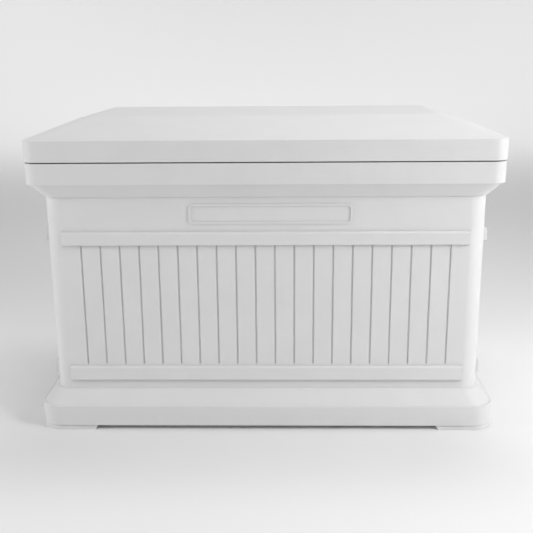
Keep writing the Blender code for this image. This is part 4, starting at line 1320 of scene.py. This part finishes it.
class PARCELBOX_OT_lock(bpy.types.Operator):
    """The cam lock in the right-hand rim, and the strike it hooks under the lid"""

    bl_idname = "parcel_box.lock"
    bl_label = "Lock"

    def execute(self, context):
        axis = aim((0, LOCK.y, LOCK.z), ALONG_X)
        low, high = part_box("lock_housing")
        front = high.x
        face = front - 0.0024
        bore = 0.0058
        housing = (
            (bore, low.x, 0),
            (0.0080, low.x, 0.0004),
            (0.0080, face, 0),
            (0.0105, face, 0.0003),
            (0.0105, face + 0.0010, 0.0006),
            (0.0090, front, 0.0008),
            (bore + 0.0006, front, 0.0003),
            (bore, front - 0.0006, 0),
        )
        made = turned("lock_barrel", housing, axis, 48, bore=True)
        finish(made, "box", "lock_housing", "chrome")

        low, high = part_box("lock_nut")
        self.nut(low, high, axis)

        low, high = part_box("lock_plug")
        plug = (
            (0.0020, low.x, 0),
            (0.0038, low.x, 0.0003),
            (0.0038, low.x + 0.0025, 0),
            (bore - GAP, low.x + 0.0025, 0),
            (bore - GAP, high.x, 0.0008),
            (0.0046, high.x, 0.0004),
            (0.0042, high.x - 0.0004, 0.0003),
            (0.0006, high.x - 0.0004, 0),
        )
        made = turned("lock_key_plug", plug, axis, 48)
        # The keyway's slot and its side ward: left, right, bottom and top from the plug's middle
        for left, right, bottom, top in ((-0.0008, 0.0008, -0.0034, 0.0034), (0, 0.0018, -0.0020, -0.0008)):
            cutter = begin("keyway")
            start = (high.x - 0.010, LOCK.y + left, LOCK.z + bottom)
            add_block(start, (high.x + 0.002, LOCK.y + right, LOCK.z + top))
            combine(made, close(cutter))
        finish(made, "lock_cylinder", "lock_plug", "chrome")

        low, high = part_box("lock_cam")
        half = (high.y - low.y) / 2
        made = plate("lock_cam_visible", low, high, "x", half - 0.00005, 0.0003)
        drill(made, (low.x, LOCK.y, LOCK.z), ALONG_X, CAM_HOLE, 0.01)
        finish(made, "lock_cylinder", "lock_cam", "zinc_steel")

        low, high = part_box("lock_cam_screw")
        wide, tall = 1.10, 0.80  # against the other screws
        seat = (low.x + 0.00195, LOCK.y, LOCK.z)
        made = pan_screw(0.0116)
        made.name = made.data.name = "lock_cam_screw_visible"
        made.data.transform(aim(seat, -ALONG_X) @ Matrix.Diagonal((wide, wide, tall, 1)))
        finish(made, "lock_cylinder", "lock_cam_screw", "screw_steel")

        self.strike()
        return {"FINISHED"}

    def nut(self, low, high, axis):
        """A hexagon nut with chamfered corners on both faces."""
        corner = 0.0125
        chamfer = 0.0007
        over = 0.00001
        made = turned("nut", ((corner, low.x, 0), (corner, high.x, 0)), axis, 6)
        cone = (
            (corner * 0.90, low.x - over, 0),
            (corner * 1.01, low.x + chamfer, 0),
            (corner * 1.01, high.x - chamfer, 0),
            (corner * 0.90, high.x + over, 0),
        )
        combine(made, turned("chamfer", cone, axis, 48), "INTERSECT")
        drill(made, (low.x, LOCK.y, LOCK.z), ALONG_X, LOCK_HOLE, 0.02)
        made.name = "lock_back_nut"
        finish(made, "box", "lock_nut", "zinc_steel")

    def strike(self):
        """A folded hook under the lid's pan. The cam turns down over its lip."""
        low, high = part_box("lid_strike")
        web = 0.0025
        face = 0.4190
        lip = low.z + SHEET
        section = (
            (low.x, high.z),
            (low.x, high.z - SHEET),
            (face - web, high.z - SHEET),
            (face - web, low.z),
            (high.x, low.z),
            (high.x, lip),
            (face, lip),
            (face, high.z),
        )
        made = folded("lid_strike_visible", section, low.y, high.y)
        finish(made, "lid", "lid_strike", "zinc_steel")


# Stage

# Each light's place, the point it faces, its two sides and its power in watts
SOFTBOXES = {
    "right_softbox": ((1.7, -1.1, 1.3), (0.3, -0.1, 0.4), (0.7, 0.9), 22),
    "right_fill": ((2.1, -0.7, 0.9), (0.4, -0.1, 0.4), (0.8, 1.0), 5),
    "left_softbox": ((-1.5, -1.5, 1.5), (-0.3, -0.1, 0.4), (0.8, 0.8), 3),
    "left_fill": ((-2.1, -0.8, 0.9), (-0.4, -0.2, 0.4), (0.8, 1.0), 14),
    "front_softbox": ((0.0, -1.2, 3.0), (0.0, -0.2, 0.4), (1.6, 0.8), 5),
    "overhead": ((0.3, 0.6, 2.8), (0.0, 0.0, 0.6), (1.6, 0.8), 24),
    "backdrop": ((0.0, 5.0, 3.0), (0.0, 5.8, 0.0), (8.0, 1.5), 110),
}


def area_light(name, place, target, size, energy):
    light = bpy.data.lights.new(name, "AREA")
    light.shape = "RECTANGLE"
    light.size, light.size_y = size
    light.energy = energy
    obj = bpy.data.objects.new(name, light)
    bpy.context.scene.collection.objects.link(obj)
    obj.location = place
    obj.rotation_euler = (Vector(target) - Vector(place)).to_track_quat("-Z", "Y").to_euler()
    obj.visible_camera = False


class PARCELBOX_OT_stage(bpy.types.Operator):
    """The camera, the pale floor and the soft lights"""

    bl_idname = "parcel_box.stage"
    bl_label = "Stage"

    def execute(self, context):
        stage = context.scene.parcel_stage
        camera = bpy.data.objects.new("camera", bpy.data.cameras.new("camera"))
        context.scene.collection.objects.link(camera)
        camera.data.lens = stage.lens
        camera.location = stage.camera
        level = math.cos(stage.pitch)
        ahead = Vector((math.sin(stage.yaw) * level, math.cos(stage.yaw) * level, -math.sin(stage.pitch)))
        turn = ahead.to_track_quat("-Z", "Y") @ Quaternion((0, 0, 1), stage.roll)
        camera.rotation_euler = turn.to_euler()
        context.scene.camera = camera

        radius = stage.floor_radius
        sweep = (
            (0.02, 0.0, 0),
            (radius * 0.4, 0.0, 0),
            (radius, 0.0, 2.0),
            (radius * 1.2, 3.5, 0),
        )
        floor = turned("pale_floor", sweep, Matrix(), 96, edge_steps=16)
        activate(floor)
        bpy.ops.object.mode_set(mode="EDIT")
        pick("FACE", lambda face: len(face.verts) > 4 and face.calc_center_median().z > 1)
        bpy.ops.mesh.delete(type="ONLY_FACE")
        bpy.ops.mesh.select_all(action="SELECT")
        bpy.ops.mesh.flip_normals()
        bpy.ops.object.mode_set(mode="OBJECT")
        bpy.ops.object.shade_smooth()
        floor.data.materials.append(material("floor"))

        world = bpy.data.worlds.new("studio")
        context.scene.world = world
        world.use_nodes = True
        background = world.node_tree.nodes["Background"]
        background.inputs["Color"].default_value = (1.0, 1.0, 1.0, 1.0)
        background.inputs["Strength"].default_value = stage.world_strength
        context.scene.view_settings.view_transform = "Standard"
        for name, (place, target, size, energy) in SOFTBOXES.items():
            area_light(name, place, target, size, energy)
        return {"FINISHED"}


OPERATORS = (
    PARCELBOX_OT_stage,
    PARCELBOX_OT_body,
    PARCELBOX_OT_liner,
    PARCELBOX_OT_mat,
    PARCELBOX_OT_caps,
    PARCELBOX_OT_lid,
    PARCELBOX_OT_pan,
    PARCELBOX_OT_seal,
    PARCELBOX_OT_hinges,
    PARCELBOX_OT_screws,
    PARCELBOX_OT_stays,
    PARCELBOX_OT_lock,
)


class PARCELBOX_PT_panel(bpy.types.Panel):
    """Lists the pieces of the parcel drop box"""

    bl_label = "Parcel drop box"
    bl_idname = "PARCELBOX_PT_panel"
    bl_space_type = "VIEW_3D"
    bl_region_type = "UI"
    bl_category = "Parcel box"

    def draw(self, context):
        for operator in OPERATORS:
            self.layout.operator(operator.bl_idname)


GROUPS = {
    "parcel_body": BodySizes,
    "parcel_panel": PanelSizes,
    "parcel_lid": LidSizes,
    "parcel_stage": StageSizes,
    "parcel_colours": Colours,
}


def register():
    for name, group in GROUPS.items():
        bpy.utils.register_class(group)
        setattr(bpy.types.Scene, name, bpy.props.PointerProperty(type=group))
    for operator in OPERATORS:
        bpy.utils.register_class(operator)
    bpy.utils.register_class(PARCELBOX_PT_panel)


def unregister():
    bpy.utils.unregister_class(PARCELBOX_PT_panel)
    for operator in reversed(OPERATORS):
        bpy.utils.unregister_class(operator)
    for name, group in reversed(GROUPS.items()):
        delattr(bpy.types.Scene, name)
        bpy.utils.unregister_class(group)


def main():
    register()
    bpy.ops.parcel_box.stage()
    bpy.ops.parcel_box.body()
    bpy.ops.parcel_box.liner()
    bpy.ops.parcel_box.mat()
    bpy.ops.parcel_box.caps()
    bpy.ops.parcel_box.lid()
    bpy.ops.parcel_box.pan()
    bpy.ops.parcel_box.seal()
    bpy.ops.parcel_box.hinges()
    bpy.ops.parcel_box.screws()
    bpy.ops.parcel_box.stays()
    bpy.ops.parcel_box.lock()


if __name__ == "__main__":
    main()
